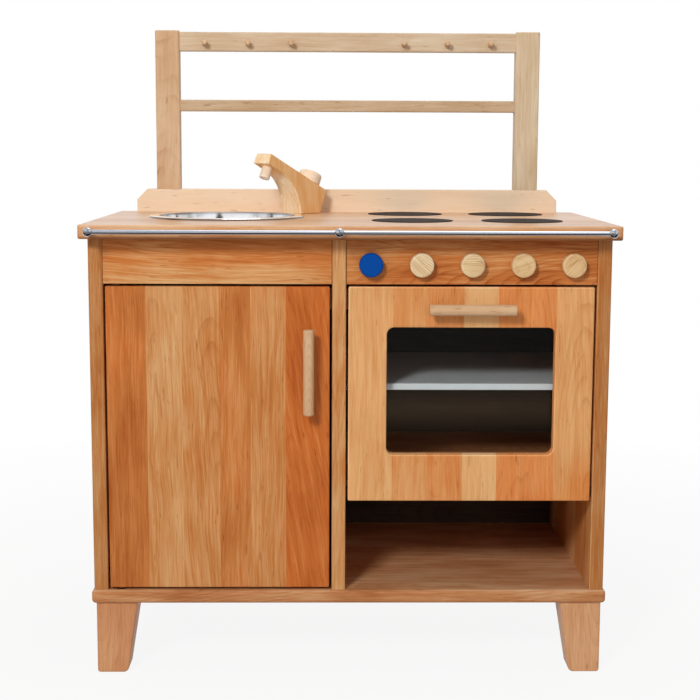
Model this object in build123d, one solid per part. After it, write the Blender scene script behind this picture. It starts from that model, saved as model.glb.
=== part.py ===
"""Child's play kitchen in glued boards: cupboard, sink and tap, hob, oven and a back frame with pegs.

Millimetres, +Z up, +X to the right of someone standing at the kitchen, +Y away from them.
The origin is on the floor, under the middle of the overall box.
"""
import os
from math import cos, radians, sin, tan

from build123d import *

# ---------------------------------------------------------------- boards and overall form
BOARD = 18.0              # thickness of carcass boards, fascias, doors and worktop
BACK_PLY = 6.0            # thickness of the cabinet's back panel
ARRIS = 2.0               # rounding of every edge that a hand meets
WORK_HEIGHT = 595.0       # floor to the top of the worktop
WORKTOP_WIDTH = 690.0
WORKTOP_DEPTH = 400.0
WORKTOP_CORNER = 5.0      # rounding of the worktop's upright corners
FRONT_OVERHANG = 24.0     # worktop ahead of the cabinet's front
SIDE_OVERHANG = 9.1       # worktop beyond each side of the cabinet
CARCASS_DEPTH = 352.0
BACK_REBATE = 9.0         # how far the back panel laps onto each side
LEG_HEIGHT = 96.0
PLINTH_PROUD = 3.5        # bottom board beyond the front and sides
PLINTH_ROUND = 5.0
DIVIDER_AT = -14.6        # middle of the upright between cupboard and oven
FASCIA_HEIGHT = 58.5
FASCIA_SETBACK = 1.5

# ---------------------------------------------------------------- legs
LEG_TOP = 54.5            # width across the front where the leg meets the bottom board
LEG_FOOT = 40.5           # width across the front at the floor
LEG_DEPTH = 56.0          # front to back where the leg meets the bottom board
LEG_FOOT_DEPTH = 37.0     # front to back at the floor
LEG_INSET = 5.5           # from the bottom board's end to the leg
LEG_TOE = 4.0             # rounding of the outer lower corner
LEG_INNER_TOE = 7.5       # rounding of the inner lower corner
LEG_SETBACK = 2.0         # cabinet's front and rear to the legs
LEG_DOWEL_STEP = 11.0     # middle of a leg to each of its dowels

# ---------------------------------------------------------------- doors and their handles
DOOR_GAP = 3.0            # all round each door
OVEN_DOOR_BOTTOM = 234.0
HANDLE_R = 7.1
HANDLE_STANDOFF = 22.0    # door face to the middle of the bar
HANDLE_POST_R = 5.0
HANDLE_POST_INSET = 14.0  # from the bar's end to the post
HANDLE_POST_SEAT = 10.0   # how deep a post is glued into the door
HANDLE_POST_GRIP = 6.0    # how deep a post is glued into the bar
CUPBOARD_BAR = 111.0
CUPBOARD_BAR_IN = 27.0    # door's free edge to the middle of the bar
CUPBOARD_BAR_TOP = 53.0   # door's top edge to the end of the bar
OVEN_BAR = 111.5
OVEN_BAR_DOWN = 27.5      # door's top edge to the middle of the bar

# ---------------------------------------------------------------- oven window
WINDOW_WIDTH = 217.9
WINDOW_RISE = 61.6        # door's bottom edge to the window
WINDOW_HEAD = 52.6        # window to the door's top edge
WINDOW_CORNER = 9.5
PANE = 3.0                # thickness of the clear pane
PANE_LAP = 12.0           # how far the pane laps behind the door all round
PANE_SCREW_HEAD = 3.4
PANE_SCREW_SHANK = 1.5
PANE_SCREW_DEPTH = 9.0
PANE_SCREW_DOME = 1.6

# ---------------------------------------------------------------- door pivots and catches
PIN_R = 3.0
PIN_SEAT = 22.0           # pin length inside the door
PIN_REACH = 12.0          # pin length inside the bush, past the gap
BUSH_WALL = 1.6
BUSH_FLANGE = 2.4         # how far the bush's flange stands out beyond its tube
RUNNING = 0.05            # radial clearance of a pin in its bush
FLOAT = 0.25              # end play between a turning piece and what it turns against
CUPBOARD_PIVOT_IN = 14.0  # door's hinge edge to the pin
OVEN_PIVOT_UP = 10.0      # door's bottom edge to the pin
OVEN_PIVOT_BACK = 5.0     # door's inner face to the pin
OVEN_STOP_GAP = 0.3       # opened door's lip to the underside of the oven floor
CATCH_WIDTH = 32.0
CATCH_HEIGHT = 26.0
CATCH_DEPTH = 20.0
CATCH_DROP = 8.0          # fascia's lower edge to the top of the catch
MAGNET_R = 6.0
MAGNET_LENGTH = 8.0
MAGNET_GAP = 0.6          # magnet to the closed door
STRIKE_R = 9.0
STRIKE = 1.5

# ---------------------------------------------------------------- oven inside
OVEN_FLOOR = 9.0
OVEN_SETBACK = 2.0        # closed door's inner face to the oven floor
CLEAT = 12.0              # square strips that the oven floor lies on
CLEAT_SETBACK = 30.0      # closed door's inner face to the strips
SHELF = 8.5
SHELF_TOP = 386.0
SHELF_SETBACK = 7.0
SHELF_BACK_GAP = 25.0     # shelf to the back panel
SHELF_SIDE_GAP = 1.5
SHELF_PIN_R = 3.0
SHELF_PIN_OUT = 9.0
SHELF_PIN_IN = 8.0
SHELF_PIN_INSET = 40.0

# ---------------------------------------------------------------- turning knobs
KNOB_COUNT = 5
KNOB_R = 15.5
KNOB_DEPTH = 14.0
KNOB_MARGIN = 31.75       # end of the knob fascia to the first and last knob
KNOB_RISE = 25.5          # fascia's lower edge to the knobs
KNOB_ROUND = 3.0          # rounding of a knob's front edge
KNOB_BACK_ROUND = 0.75
SPINDLE_R = 4.0
SPINDLE_SEAT = 9.0        # how deep a spindle is glued into its knob
SPINDLE_HEAD_R = 7.5
SPINDLE_HEAD = 4.0

# ---------------------------------------------------------------- towel rail
RAIL_R = 3.2
RAIL_OUT = 18.0           # worktop's front edge to the rod's axis
RAIL_DROP = 8.0           # worktop's top to the rod's axis
RAIL_END_IN = 11.0        # worktop's end to the rod's end
RAIL_SCREW_IN = 5.5       # rod's end to the outer screws
SPACER_R = 4.5
RAIL_SCREW_R = 1.9
RAIL_SCREW_HEAD_R = 6.0
RAIL_SCREW_DOME = 3.2
RAIL_SCREW_SEAT = 24.0    # screw length inside the worktop
SPOT_FACE = 0.9           # flat ground on the rod under each screw head
RAIL_CHAMFER = 0.5

# ---------------------------------------------------------------- hob and sink
DISC_R = 54.6
DISC = 3.0
DISC_RECESS = 2.0
DISC_ROUND = 0.5
DISC_FRONT = 130.0        # worktop's front edge to the front discs' middle
DISC_PITCH_Y = 190.0
DISC_FIRST = 84.3         # middle of the kitchen to the inner discs' middle
DISC_PITCH_X = 148.2
SINK_AT = -170.7
SINK_BACK = 217.0         # worktop's front edge to the sink's middle
SINK_RIM_R = 108.5
SINK_MOUTH_R = 94.5
SINK_DEPTH = 62.0
SINK_BASE_R = 61.0
SINK_RIM_RISE = 3.0
SINK_RIM_ROUND = 2.4      # rounding of the rim's outer edge
SINK_LIP_ROUND = 1.26     # rounding where the rim turns down into the bowl
SINK_WALL = 1.4
SINK_HOLE_GAP = 2.0

# ---------------------------------------------------------------- tap
TAP_AT = -69.5
TAP_BACK = 336.0          # worktop's front edge to the tap's pivot
TAP_HEADING = 41.0        # degrees that the tap is turned from straight ahead, towards the sink
TAP_REAR_HEIGHT = 34.0
TAP_RIDGE = 128.5         # length of the sloping top
TAP_SLOPE = 25.0
TAP_NOSE = 15.5           # depth of the nose across the ridge
TAP_THROAT_AT = 59.0      # rear corner to the upright front of the base
TAP_THROAT_R = 68.0
TAP_PIVOT_AT = 37.5       # rear corner to the pivot
TAP_WIDTH_BASE = 40.0
TAP_WIDTH_TOP = 28.0      # width at the nose's top
TAP_PIVOT_R = 6.0
TAP_PIVOT_RISE = 24.0
OUTLET_R = 7.6
OUTLET_IN = 15.0          # nose's end to the outlet's axis, along the nose's underside
OUTLET_OUT = 17.0         # nose's underside to the outlet's mouth
OUTLET_SEAT = 11.0        # how deep the outlet is glued into the nose
TAP_KNOB_R = 17.0
TAP_KNOB_DEPTH = 16.0
TAP_KNOB_AT = 24.0        # ridge's rear end to the knob
TAP_SPINDLE_DEPTH = 17.0
TAP_ARRIS = 1.2

# ---------------------------------------------------------------- back frame
SPLASH_END_IN = 27.5      # worktop's end to the splashback's end
SPLASH_HEIGHT = 34.0
SPLASH = 20.0
SPLASH_CUT = 15.5
FRAME_END_IN = 57.5       # worktop's end to the post
POST_WIDTH = 36.0
POST_HEIGHT = 235.0
TOP_RAIL_HEIGHT = 28.3
TOP_RAIL_DROP = 2.0       # post's top to the rail
TOP_RAIL = 16.0
MIDDLE_RAIL_HEIGHT = 17.2
MIDDLE_RAIL_RISE = 116.0  # splashback's top to the rail
MIDDLE_RAIL = 14.0
RAIL_SETBACK = 2.5        # post's front to the rails
PEG_R = 4.0
PEG_NECK_R = 3.6          # turned thinner where it goes into the rail
PEG_NECK = 2.0            # rail's face to the end of the neck
PEG_ROUND = 2.0
PEG_PITCH = 64.5
PEG_END_IN = 38.5         # post to the nearest peg
PEGS_A_SIDE = 3
PEG_OUT = 17.0
PEG_SEAT = 11.0
PEG_TILT = 8.0
PEG_DROP = 20.0           # post's top to the pegs

# ---------------------------------------------------------------- glued dowels and small screws
DOWEL_R = 4.0
LONG_DOWEL = 32.0
SHORT_DOWEL = 24.0
FASCIA_DOWEL_IN = 8.0     # how deep a fascia's dowel goes into the upright
BACK_SCREW_HEAD_R = 3.5
BACK_SCREW_R = 1.6
BACK_SCREW = 22.0
BACK_SCREW_DOME = 2.0
BACK_SCREWS_A_SIDE = 4
BACK_SCREW_INSET = 40.0   # back panel's end to the first screw
SPLASH_DOWEL_AT = 220.0
UPRIGHT_DOWEL_FRONT = 45.0
UPRIGHT_DOWEL_PITCH = 245.0
RECESS_SHARE = 0.16       # driver slot's half width, as a share of the head's radius
SAME = 0.01               # edges closer than this to a line lie on it

# ---------------------------------------------------------------- places worked out from the sizes above
RAIL_REACH = RAIL_OUT + RAIL_R - SPOT_FACE + RAIL_SCREW_DOME
WORKTOP_FRONT = (RAIL_REACH - WORKTOP_DEPTH) / 2
WORKTOP_REAR = WORKTOP_FRONT + WORKTOP_DEPTH
FRONT = WORKTOP_FRONT + FRONT_OVERHANG
REAR = FRONT + CARCASS_DEPTH
DOOR_BACK = FRONT + BOARD
WORKTOP_UNDER = WORK_HEIGHT - BOARD
FLOOR_BOARD_TOP = LEG_HEIGHT + BOARD
SIDE = WORKTOP_WIDTH / 2 - SIDE_OVERHANG
INNER = SIDE - BOARD
DIVIDER_LEFT = DIVIDER_AT - BOARD / 2
DIVIDER_RIGHT = DIVIDER_AT + BOARD / 2
BACK_PANEL_FRONT = REAR - BACK_PLY
FASCIA_BOTTOM = WORKTOP_UNDER - FASCIA_HEIGHT
FASCIA_FRONT = FRONT + FASCIA_SETBACK
DOOR_TOP = FASCIA_BOTTOM - DOOR_GAP
CUPBOARD_DOOR_BOTTOM = FLOOR_BOARD_TOP + DOOR_GAP
CUPBOARD_DOOR_LEFT = -INNER + DOOR_GAP
CUPBOARD_DOOR_RIGHT = DIVIDER_LEFT - DOOR_GAP
OVEN_DOOR_LEFT = DIVIDER_RIGHT + DOOR_GAP
OVEN_DOOR_RIGHT = INNER - DOOR_GAP
OVEN_MIDDLE = (OVEN_DOOR_LEFT + OVEN_DOOR_RIGHT) / 2
WINDOW_HEIGHT = DOOR_TOP - OVEN_DOOR_BOTTOM - WINDOW_RISE - WINDOW_HEAD
CUPBOARD_PIVOT = (CUPBOARD_DOOR_LEFT + CUPBOARD_PIVOT_IN, FRONT + BOARD / 2)
OVEN_PIVOT = (DOOR_BACK - OVEN_PIVOT_BACK, OVEN_DOOR_BOTTOM + OVEN_PIVOT_UP)
OVEN_FLOOR_UNDER = OVEN_PIVOT[1] + OVEN_PIVOT_BACK + OVEN_STOP_GAP
OVEN_FLOOR_TOP = OVEN_FLOOR_UNDER + OVEN_FLOOR
BUSH_R = PIN_R + RUNNING + BUSH_WALL
BUSH_LENGTH = PIN_REACH + 1.0
KNOB_Z = FASCIA_BOTTOM + KNOB_RISE
KNOB_FIRST = DIVIDER_RIGHT + KNOB_MARGIN
KNOB_PITCH = (INNER - KNOB_MARGIN - KNOB_FIRST) / (KNOB_COUNT - 1)
KNOB_XS = [KNOB_FIRST + i * KNOB_PITCH for i in range(KNOB_COUNT)]
RAIL_Y = WORKTOP_FRONT - RAIL_OUT
RAIL_Z = WORK_HEIGHT - RAIL_DROP
RAIL_LENGTH = WORKTOP_WIDTH - 2 * RAIL_END_IN
RAIL_SCREW_XS = [-RAIL_LENGTH / 2 + RAIL_SCREW_IN, DIVIDER_AT, RAIL_LENGTH / 2 - RAIL_SCREW_IN]
DISC_PLACES = [
    (DISC_FIRST + i * DISC_PITCH_X, WORKTOP_FRONT + DISC_FRONT + j * DISC_PITCH_Y)
    for j in range(2)
    for i in range(2)
]
SINK_Y = WORKTOP_FRONT + SINK_BACK
SINK_HOLE_R = SINK_MOUTH_R + SINK_WALL + SINK_HOLE_GAP
TAP_Y = WORKTOP_FRONT + TAP_BACK
SPLASH_FRONT = WORKTOP_REAR - SPLASH
SPLASH_TOP = WORK_HEIGHT + SPLASH_HEIGHT
POST_TOP = SPLASH_TOP + POST_HEIGHT
SPLASH_WIDTH = WORKTOP_WIDTH - 2 * SPLASH_END_IN
FRAME_WIDTH = WORKTOP_WIDTH - 2 * FRAME_END_IN
POST_INNER = FRAME_WIDTH / 2 - POST_WIDTH
FRAME_MIDDLE_Y = SPLASH_FRONT + SPLASH / 2
TOP_RAIL_TOP = POST_TOP - TOP_RAIL_DROP
TOP_RAIL_MIDDLE = TOP_RAIL_TOP - TOP_RAIL_HEIGHT / 2
MIDDLE_RAIL_BOTTOM = SPLASH_TOP + MIDDLE_RAIL_RISE
MIDDLE_RAIL_MIDDLE = MIDDLE_RAIL_BOTTOM + MIDDLE_RAIL_HEIGHT / 2
PEG_INNER = POST_INNER - PEG_END_IN - (PEGS_A_SIDE - 1) * PEG_PITCH
PEG_XS = [side * (PEG_INNER + i * PEG_PITCH) for side in (-1, 1) for i in range(PEGS_A_SIDE)]

LEG_OUTER = SIDE + PLINTH_PROUD - LEG_INSET
LEG_MIDDLE = LEG_OUTER - LEG_TOP / 2
LEG_FACES = {-1: FRONT + LEG_SETBACK, 1: REAR - LEG_SETBACK}
UPRIGHT_DOWEL_YS = (FRONT + UPRIGHT_DOWEL_FRONT, FRONT + UPRIGHT_DOWEL_FRONT + UPRIGHT_DOWEL_PITCH)
FASCIA_MIDDLE = (FASCIA_BOTTOM + WORKTOP_UNDER) / 2
SHELF_FRONT = DOOR_BACK + SHELF_SETBACK
SHELF_REAR = BACK_PANEL_FRONT - SHELF_BACK_GAP
RAILS_FRONT = SPLASH_FRONT + RAIL_SETBACK
SPOT_Y = RAIL_Y - RAIL_R + SPOT_FACE
PEG_Z = POST_TOP - PEG_DROP

X_POS, X_NEG = (1, 0, 0), (-1, 0, 0)
Y_POS, Y_NEG = (0, 1, 0), (0, -1, 0)
Z_POS, Z_NEG = (0, 0, 1), (0, 0, -1)

parts = {}


# ---------------------------------------------------------------- shapes used by many pieces
def block(x, y, z):
    """Squared block; x, y and z are each a (low, high) pair."""
    size = [pair[1] - pair[0] for pair in (x, y, z)]
    middle = [(pair[1] + pair[0]) / 2 for pair in (x, y, z)]
    return Pos(*middle) * Box(*size)


def board(x, y, z, grain=None, arris=ARRIS):
    """Board rounded along its grain, or on every edge where no grain is given."""
    plain = block(x, y, z)
    edges = plain.edges().filter_by(grain) if grain else plain.edges()
    return fillet(edges, arris)


def along(start, direction, length, radius):
    """Cylinder that starts at a point and runs along a direction."""
    place = Plane(origin=start, z_dir=direction).location
    return place * Cylinder(radius, length, align=(Align.CENTER, Align.CENTER, Align.MIN))


def pegged(middle, direction, length, radius=DOWEL_R):
    """Dowel centred on the joint between two boards, half in each."""
    start = [middle[i] - direction[i] * length / 2 for i in range(3)]
    return along(start, direction, length, radius)


def dome_screw(start, direction, head_r, dome, shank_r, length):
    """Round-head screw with a cross slot: its seat is at start and its shank runs along direction."""
    outline = [
        Line((0, length), (shank_r, length - shank_r)),
        Line((shank_r, length - shank_r), (shank_r, 0)),
        Line((shank_r, 0), (head_r, 0)),
        EllipticalCenterArc((0, 0), head_r, dome, start_angle=270, arc_size=90),
        Line((0, -dome), (0, length)),
    ]
    turned = revolve(Plane.XZ * make_face(outline), Axis.Z)
    slot = Pos(0, 0, -dome) * Box(head_r, head_r * 2 * RECESS_SHARE, dome)
    return Plane(origin=start, z_dir=direction).location * (turned - slot - Rot(0, 0, 90) * slot)


def group(solids):
    """Separate solids kept in one node."""
    return Compound(list(solids))


def cut_all(body, tools):
    """Body less every tool."""
    for tool in tools:
        body = body - tool
    return body


# ---------------------------------------------------------------- glued dowels, hidden in the joints
def carcass_dowels():
    """Uprights to the bottom board and worktop, and fascias to the uprights."""
    solids = []
    for x in (-SIDE + BOARD / 2, DIVIDER_AT, SIDE - BOARD / 2):
        for y in UPRIGHT_DOWEL_YS:
            solids.append(pegged((x, y, FLOOR_BOARD_TOP), Z_POS, SHORT_DOWEL))
            solids.append(pegged((x, y, WORKTOP_UNDER), Z_POS, SHORT_DOWEL))
    for face, toward in ((-INNER, 1), (DIVIDER_LEFT, -1), (DIVIDER_RIGHT, 1), (INNER, -1)):
        start = (face - toward * FASCIA_DOWEL_IN, FASCIA_FRONT + BOARD / 2, FASCIA_MIDDLE)
        solids.append(along(start, (toward, 0, 0), SHORT_DOWEL, DOWEL_R))
    return solids


def leg_dowels():
    """Two dowels from each leg up into the bottom board."""
    return [
        pegged((side * (LEG_MIDDLE + step), face - end * LEG_DEPTH / 2, LEG_HEIGHT), Z_POS, SHORT_DOWEL)
        for side in (-1, 1)
        for end, face in LEG_FACES.items()
        for step in (-LEG_DOWEL_STEP, LEG_DOWEL_STEP)
    ]


def frame_dowels():
    """Splashback to worktop, posts to splashback and rails to posts."""
    solids = [
        pegged((x, FRAME_MIDDLE_Y, WORK_HEIGHT), Z_POS, SHORT_DOWEL)
        for x in (-SPLASH_DOWEL_AT, 0, SPLASH_DOWEL_AT)
    ]
    for side in (-1, 1):
        post = side * (FRAME_WIDTH - POST_WIDTH) / 2
        face = side * POST_INNER
        top_y = RAILS_FRONT + TOP_RAIL / 2
        middle_y = RAILS_FRONT + MIDDLE_RAIL / 2
        solids.append(pegged((post, FRAME_MIDDLE_Y, SPLASH_TOP), Z_POS, LONG_DOWEL))
        solids.append(pegged((face, top_y, TOP_RAIL_MIDDLE), X_POS, LONG_DOWEL))
        solids.append(pegged((face, middle_y, MIDDLE_RAIL_MIDDLE), X_POS, LONG_DOWEL))
    return solids


# ---------------------------------------------------------------- carcass
def leg(side, end):
    """Leg with upright outer faces, slanted inner faces and a rounded toe."""
    front_view = Polyline(
        (LEG_OUTER - LEG_TOP, LEG_HEIGHT),
        (LEG_OUTER - LEG_FOOT, 0),
        (LEG_OUTER, 0),
        (LEG_OUTER, LEG_HEIGHT),
        close=True,
    )
    side_view = Polyline((0, LEG_HEIGHT), (0, 0), (LEG_FOOT_DEPTH, 0), (LEG_DEPTH, LEG_HEIGHT), close=True)
    solid = extrude(Plane.XZ * make_face(front_view), -LEG_DEPTH)
    solid &= extrude(Plane.YZ * make_face(side_view), LEG_OUTER)
    for corner, rounding in ((0, LEG_INNER_TOE), (-1, LEG_TOE)):
        toes = solid.edges().filter_by(Axis.Y).group_by(Axis.Z)[0]
        solid = fillet(toes.sort_by(Axis.X)[corner], rounding)
    eased = solid.edges().filter_by(lambda edge: edge.center().Z < LEG_HEIGHT - ARRIS)
    solid = fillet(eased, ARRIS)
    if side < 0:
        solid = mirror(solid, Plane.YZ)
    if end > 0:
        solid = mirror(solid, Plane.XZ)
    return Pos(0, LEG_FACES[end], 0) * solid


def shelf_pins():
    """Plain pegs that the oven shelf lies on."""
    z = SHELF_TOP - SHELF - SHELF_PIN_R
    ys = (SHELF_FRONT + SHELF_PIN_INSET, SHELF_REAR - SHELF_PIN_INSET)
    return [
        along((x - d * SHELF_PIN_IN, y, z), (d, 0, 0), SHELF_PIN_IN + SHELF_PIN_OUT, SHELF_PIN_R)
        for x, d in ((DIVIDER_RIGHT, 1), (INNER, -1))
        for y in ys
    ]


def floor_cleats():
    """Strips along the divider and the right side that carry the oven floor."""
    y = (DOOR_BACK + CLEAT_SETBACK, BACK_PANEL_FRONT)
    z = (OVEN_FLOOR_UNDER - CLEAT, OVEN_FLOOR_UNDER)
    spans = ((DIVIDER_RIGHT, DIVIDER_RIGHT + CLEAT), (INNER - CLEAT, INNER))
    return [block(x, y, z) for x in spans]


def back_screws():
    """Round-head screws that hold the back panel to the sides and the divider."""
    first = FLOOR_BOARD_TOP + BACK_SCREW_INSET
    step = (WORKTOP_UNDER - BACK_SCREW_INSET - first) / (BACK_SCREWS_A_SIDE - 1)
    lap_middle = INNER + BACK_REBATE / 2
    sizes = (BACK_SCREW_HEAD_R, BACK_SCREW_DOME, BACK_SCREW_R, BACK_SCREW)
    return [
        dome_screw((x, REAR, first + i * step), Y_NEG, *sizes)
        for x in (-lap_middle, DIVIDER_AT, lap_middle)
        for i in range(BACK_SCREWS_A_SIDE)
    ]


def bush(start, direction):
    """Flanged sleeve let into a board; the flange fills the gap to the door, less its float."""
    flange = DOOR_GAP - FLOAT
    buried = [start[i] - BUSH_LENGTH * direction[i] for i in range(3)]
    sleeve = along(buried, direction, BUSH_LENGTH + flange, BUSH_R)
    sleeve += along(start, direction, flange, BUSH_R + BUSH_FLANGE)
    return sleeve - along(buried, direction, BUSH_LENGTH + flange, PIN_R + RUNNING)


def bush_places():
    """Mouth of each bush's hole and the way its flange faces."""
    x, y = CUPBOARD_PIVOT
    oven_y, oven_z = OVEN_PIVOT
    return [
        ((x, y, FLOOR_BOARD_TOP), Z_POS),
        ((x, y, FASCIA_BOTTOM), Z_NEG),
        ((DIVIDER_RIGHT, oven_y, oven_z), X_POS),
        ((INNER, oven_y, oven_z), X_NEG),
    ]


def bush_holes():
    """Holes that the bushes are pressed into."""
    return [
        along(start, [-d for d in direction], BUSH_LENGTH, BUSH_R)
        for start, direction in bush_places()
    ]


def catch_corners():
    """Lower front left corner of each catch block, beside the divider and behind a door's top."""
    low = FASCIA_BOTTOM - CATCH_DROP - CATCH_HEIGHT
    front = DOOR_BACK + MAGNET_GAP
    return [(DIVIDER_LEFT - CATCH_WIDTH, front, low), (DIVIDER_RIGHT, front, low)]


def catch_point(corner):
    """Middle of a catch block's front face."""
    return (corner[0] + CATCH_WIDTH / 2, corner[1], corner[2] + CATCH_HEIGHT / 2)


def magnets():
    """Round magnets let into the catch blocks."""
    return [along(catch_point(c), Y_POS, MAGNET_LENGTH, MAGNET_R) for c in catch_corners()]


def catch_block(corner):
    """Hardwood block beside the divider, bored for its magnet."""
    x, y, z = corner
    solid = block((x, x + CATCH_WIDTH), (y, y + CATCH_DEPTH), (z, z + CATCH_HEIGHT))
    return cut_all(fillet(solid.edges().filter_by(Axis.Y), ARRIS / 2), magnets())


def knob_holes():
    """Clear holes through the knob fascia for the spindles."""
    return [along((x, FASCIA_FRONT, KNOB_Z), Y_POS, BOARD, SPINDLE_R + RUNNING) for x in KNOB_XS]


def build_uprights():
    """Sides, divider and back panel."""
    cuts = carcass_dowels() + bush_holes() + shelf_pins() + back_screws()
    tall = (FLOOR_BOARD_TOP, WORKTOP_UNDER)
    lap = INNER + BACK_REBATE
    back = block((-lap, lap), (BACK_PANEL_FRONT, REAR), tall)
    left = board((-SIDE, -INNER), (FRONT, REAR), tall, Axis.Z) - back
    right = board((INNER, SIDE), (FRONT, REAR), tall, Axis.Z) - back
    divider = board((DIVIDER_LEFT, DIVIDER_RIGHT), (FRONT, BACK_PANEL_FRONT), tall, Axis.Z)
    parts["left_side_panel"] = cut_all(left, cuts)
    parts["right_side_panel"] = cut_all(right, cuts)
    parts["divider_panel"] = cut_all(divider, cuts)
    parts["back_panel"] = cut_all(back, back_screws())


def build_base():
    """Bottom board and the four legs under it."""
    wide = SIDE + PLINTH_PROUD
    plinth = block((-wide, wide), (FRONT - PLINTH_PROUD, REAR), (LEG_HEIGHT, FLOOR_BOARD_TOP))
    seen = plinth.edges().filter_by(lambda edge: edge.center().Y < REAR - ARRIS)
    plinth = fillet(seen, PLINTH_ROUND)
    parts["bottom_board"] = cut_all(plinth, carcass_dowels() + leg_dowels() + bush_holes())
    names = ("front_left_leg", "rear_left_leg", "front_right_leg", "rear_right_leg")
    places = [(side, end) for side in (-1, 1) for end in LEG_FACES]
    for name, (side, end) in zip(names, places):
        parts[name] = cut_all(leg(side, end), leg_dowels())


def build_fascias():
    """Boards above the doors, the second bored for the knobs."""
    tall = (FASCIA_BOTTOM, WORKTOP_UNDER)
    deep = (FASCIA_FRONT, FASCIA_FRONT + BOARD)
    cuts = carcass_dowels() + bush_holes() + knob_holes()
    sink_side = board((-INNER, DIVIDER_LEFT), deep, tall, Axis.X, ARRIS / 2)
    knob_side = board((DIVIDER_RIGHT, INNER), deep, tall, Axis.X, ARRIS / 2)
    parts["sink_fascia"] = cut_all(sink_side, cuts)
    parts["knob_fascia"] = cut_all(knob_side, cuts)


def build_oven_inside():
    """Oven floor on its strips, and the shelf on its pins."""
    floor_y = (DOOR_BACK + OVEN_SETBACK, BACK_PANEL_FRONT)
    floor_z = (OVEN_FLOOR_UNDER, OVEN_FLOOR_TOP)
    parts["oven_floor"] = block((DIVIDER_RIGHT, INNER), floor_y, floor_z)
    parts["floor_cleats"] = group(floor_cleats())
    shelf_x = (DIVIDER_RIGHT + SHELF_SIDE_GAP, INNER - SHELF_SIDE_GAP)
    shelf_y = (SHELF_FRONT, SHELF_REAR)
    parts["oven_shelf"] = board(shelf_x, shelf_y, (SHELF_TOP - SHELF, SHELF_TOP), Axis.X, ARRIS / 2)
    parts["shelf_pins"] = group(shelf_pins())


def build_fixings():
    """Dowels, back panel screws, pivot bushes and magnet catches."""
    parts["wood_dowels"] = group(carcass_dowels() + leg_dowels() + frame_dowels())
    parts["back_panel_screws"] = group(back_screws())
    parts["pivot_bushes"] = group(bush(start, direction) for start, direction in bush_places())
    parts["catch_blocks"] = group(catch_block(corner) for corner in catch_corners())
    parts["catch_magnets"] = group(magnets())


# ---------------------------------------------------------------- worktop, hob, sink and towel rail
def rail_screws():
    """Round-head screws through the rod and its spacers into the worktop's edge."""
    length = WORKTOP_FRONT - SPOT_Y + RAIL_SCREW_SEAT
    sizes = (RAIL_SCREW_HEAD_R, RAIL_SCREW_DOME, RAIL_SCREW_R, length)
    return [dome_screw((x, SPOT_Y, RAIL_Z), Y_POS, *sizes) for x in RAIL_SCREW_XS]


def plain_rail():
    """The rod before it is drilled."""
    return along((-RAIL_LENGTH / 2, RAIL_Y, RAIL_Z), X_POS, RAIL_LENGTH, RAIL_R)


def towel_rail():
    """Round rod with a spot-face and a cross hole at each screw."""
    rod = chamfer(plain_rail().edges().filter_by(GeomType.CIRCLE), RAIL_CHAMFER)
    for x in RAIL_SCREW_XS:
        rod -= along((x, SPOT_Y, RAIL_Z), Y_NEG, RAIL_R, RAIL_SCREW_HEAD_R)
    return cut_all(rod, rail_screws())


def rail_spacers():
    """Sleeves that hold the rod off the worktop, each with a saddle that the rod lies in."""
    cuts = [plain_rail()] + rail_screws()
    sleeves = [
        along((x, WORKTOP_FRONT, RAIL_Z), Y_NEG, RAIL_OUT - RAIL_R / 2, SPACER_R)
        for x in RAIL_SCREW_XS
    ]
    return [cut_all(sleeve, cuts) for sleeve in sleeves]


def hob_disc(x, y):
    """Thin disc let into the worktop and standing slightly proud."""
    disc = along((x, y, WORK_HEIGHT - DISC_RECESS), Z_POS, DISC, DISC_R)
    return fillet(disc.edges().group_by(Axis.Z)[-1], DISC_ROUND)


def bowl_form(mouth_r, base_r, low):
    """Turned form of a bowl: flat base, and a side that rises into an upright mouth."""
    top = WORK_HEIGHT + SINK_RIM_RISE
    outline = [
        Line((0, low), (base_r, low)),
        EllipticalCenterArc((base_r, top), mouth_r - base_r, top - low, start_angle=270, arc_size=90),
        Line((mouth_r, top), (0, top)),
        Line((0, top), (0, low)),
    ]
    return revolve(Plane.XZ * make_face(outline), Axis.Z)


def rim_ring(outer_r, rise, rounding):
    """Flat ring that lies on the worktop round the bowl's mouth, with a rounded outer edge."""
    ring = along((0, 0, WORK_HEIGHT), Z_POS, rise, outer_r)
    return fillet(ring.edges().group_by(Axis.Z)[-1], rounding)


def sink_bowl():
    """Spun steel bowl: its hollow rim lies on the worktop and carries it."""
    low = WORK_HEIGHT - SINK_DEPTH
    rim = rim_ring(SINK_RIM_R, SINK_RIM_RISE, SINK_RIM_ROUND)
    rim -= rim_ring(SINK_RIM_R - SINK_WALL, SINK_RIM_RISE - SINK_WALL, SINK_RIM_ROUND - SINK_WALL)
    bowl = rim + bowl_form(SINK_MOUTH_R + SINK_WALL, SINK_BASE_R, low)
    bowl -= bowl_form(SINK_MOUTH_R, SINK_BASE_R, low + SINK_WALL)
    lip = bowl.edges().filter_by(GeomType.CIRCLE).filter_by(is_lip)
    return Pos(SINK_AT, SINK_Y, 0) * fillet(lip, SINK_LIP_ROUND)


def is_lip(edge):
    """True for the circle where the rim's top turns down into the bowl."""
    at_top = abs(edge.center().Z - WORK_HEIGHT - SINK_RIM_RISE) < SAME
    return at_top and abs(edge.radius - SINK_MOUTH_R) < SAME


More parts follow.
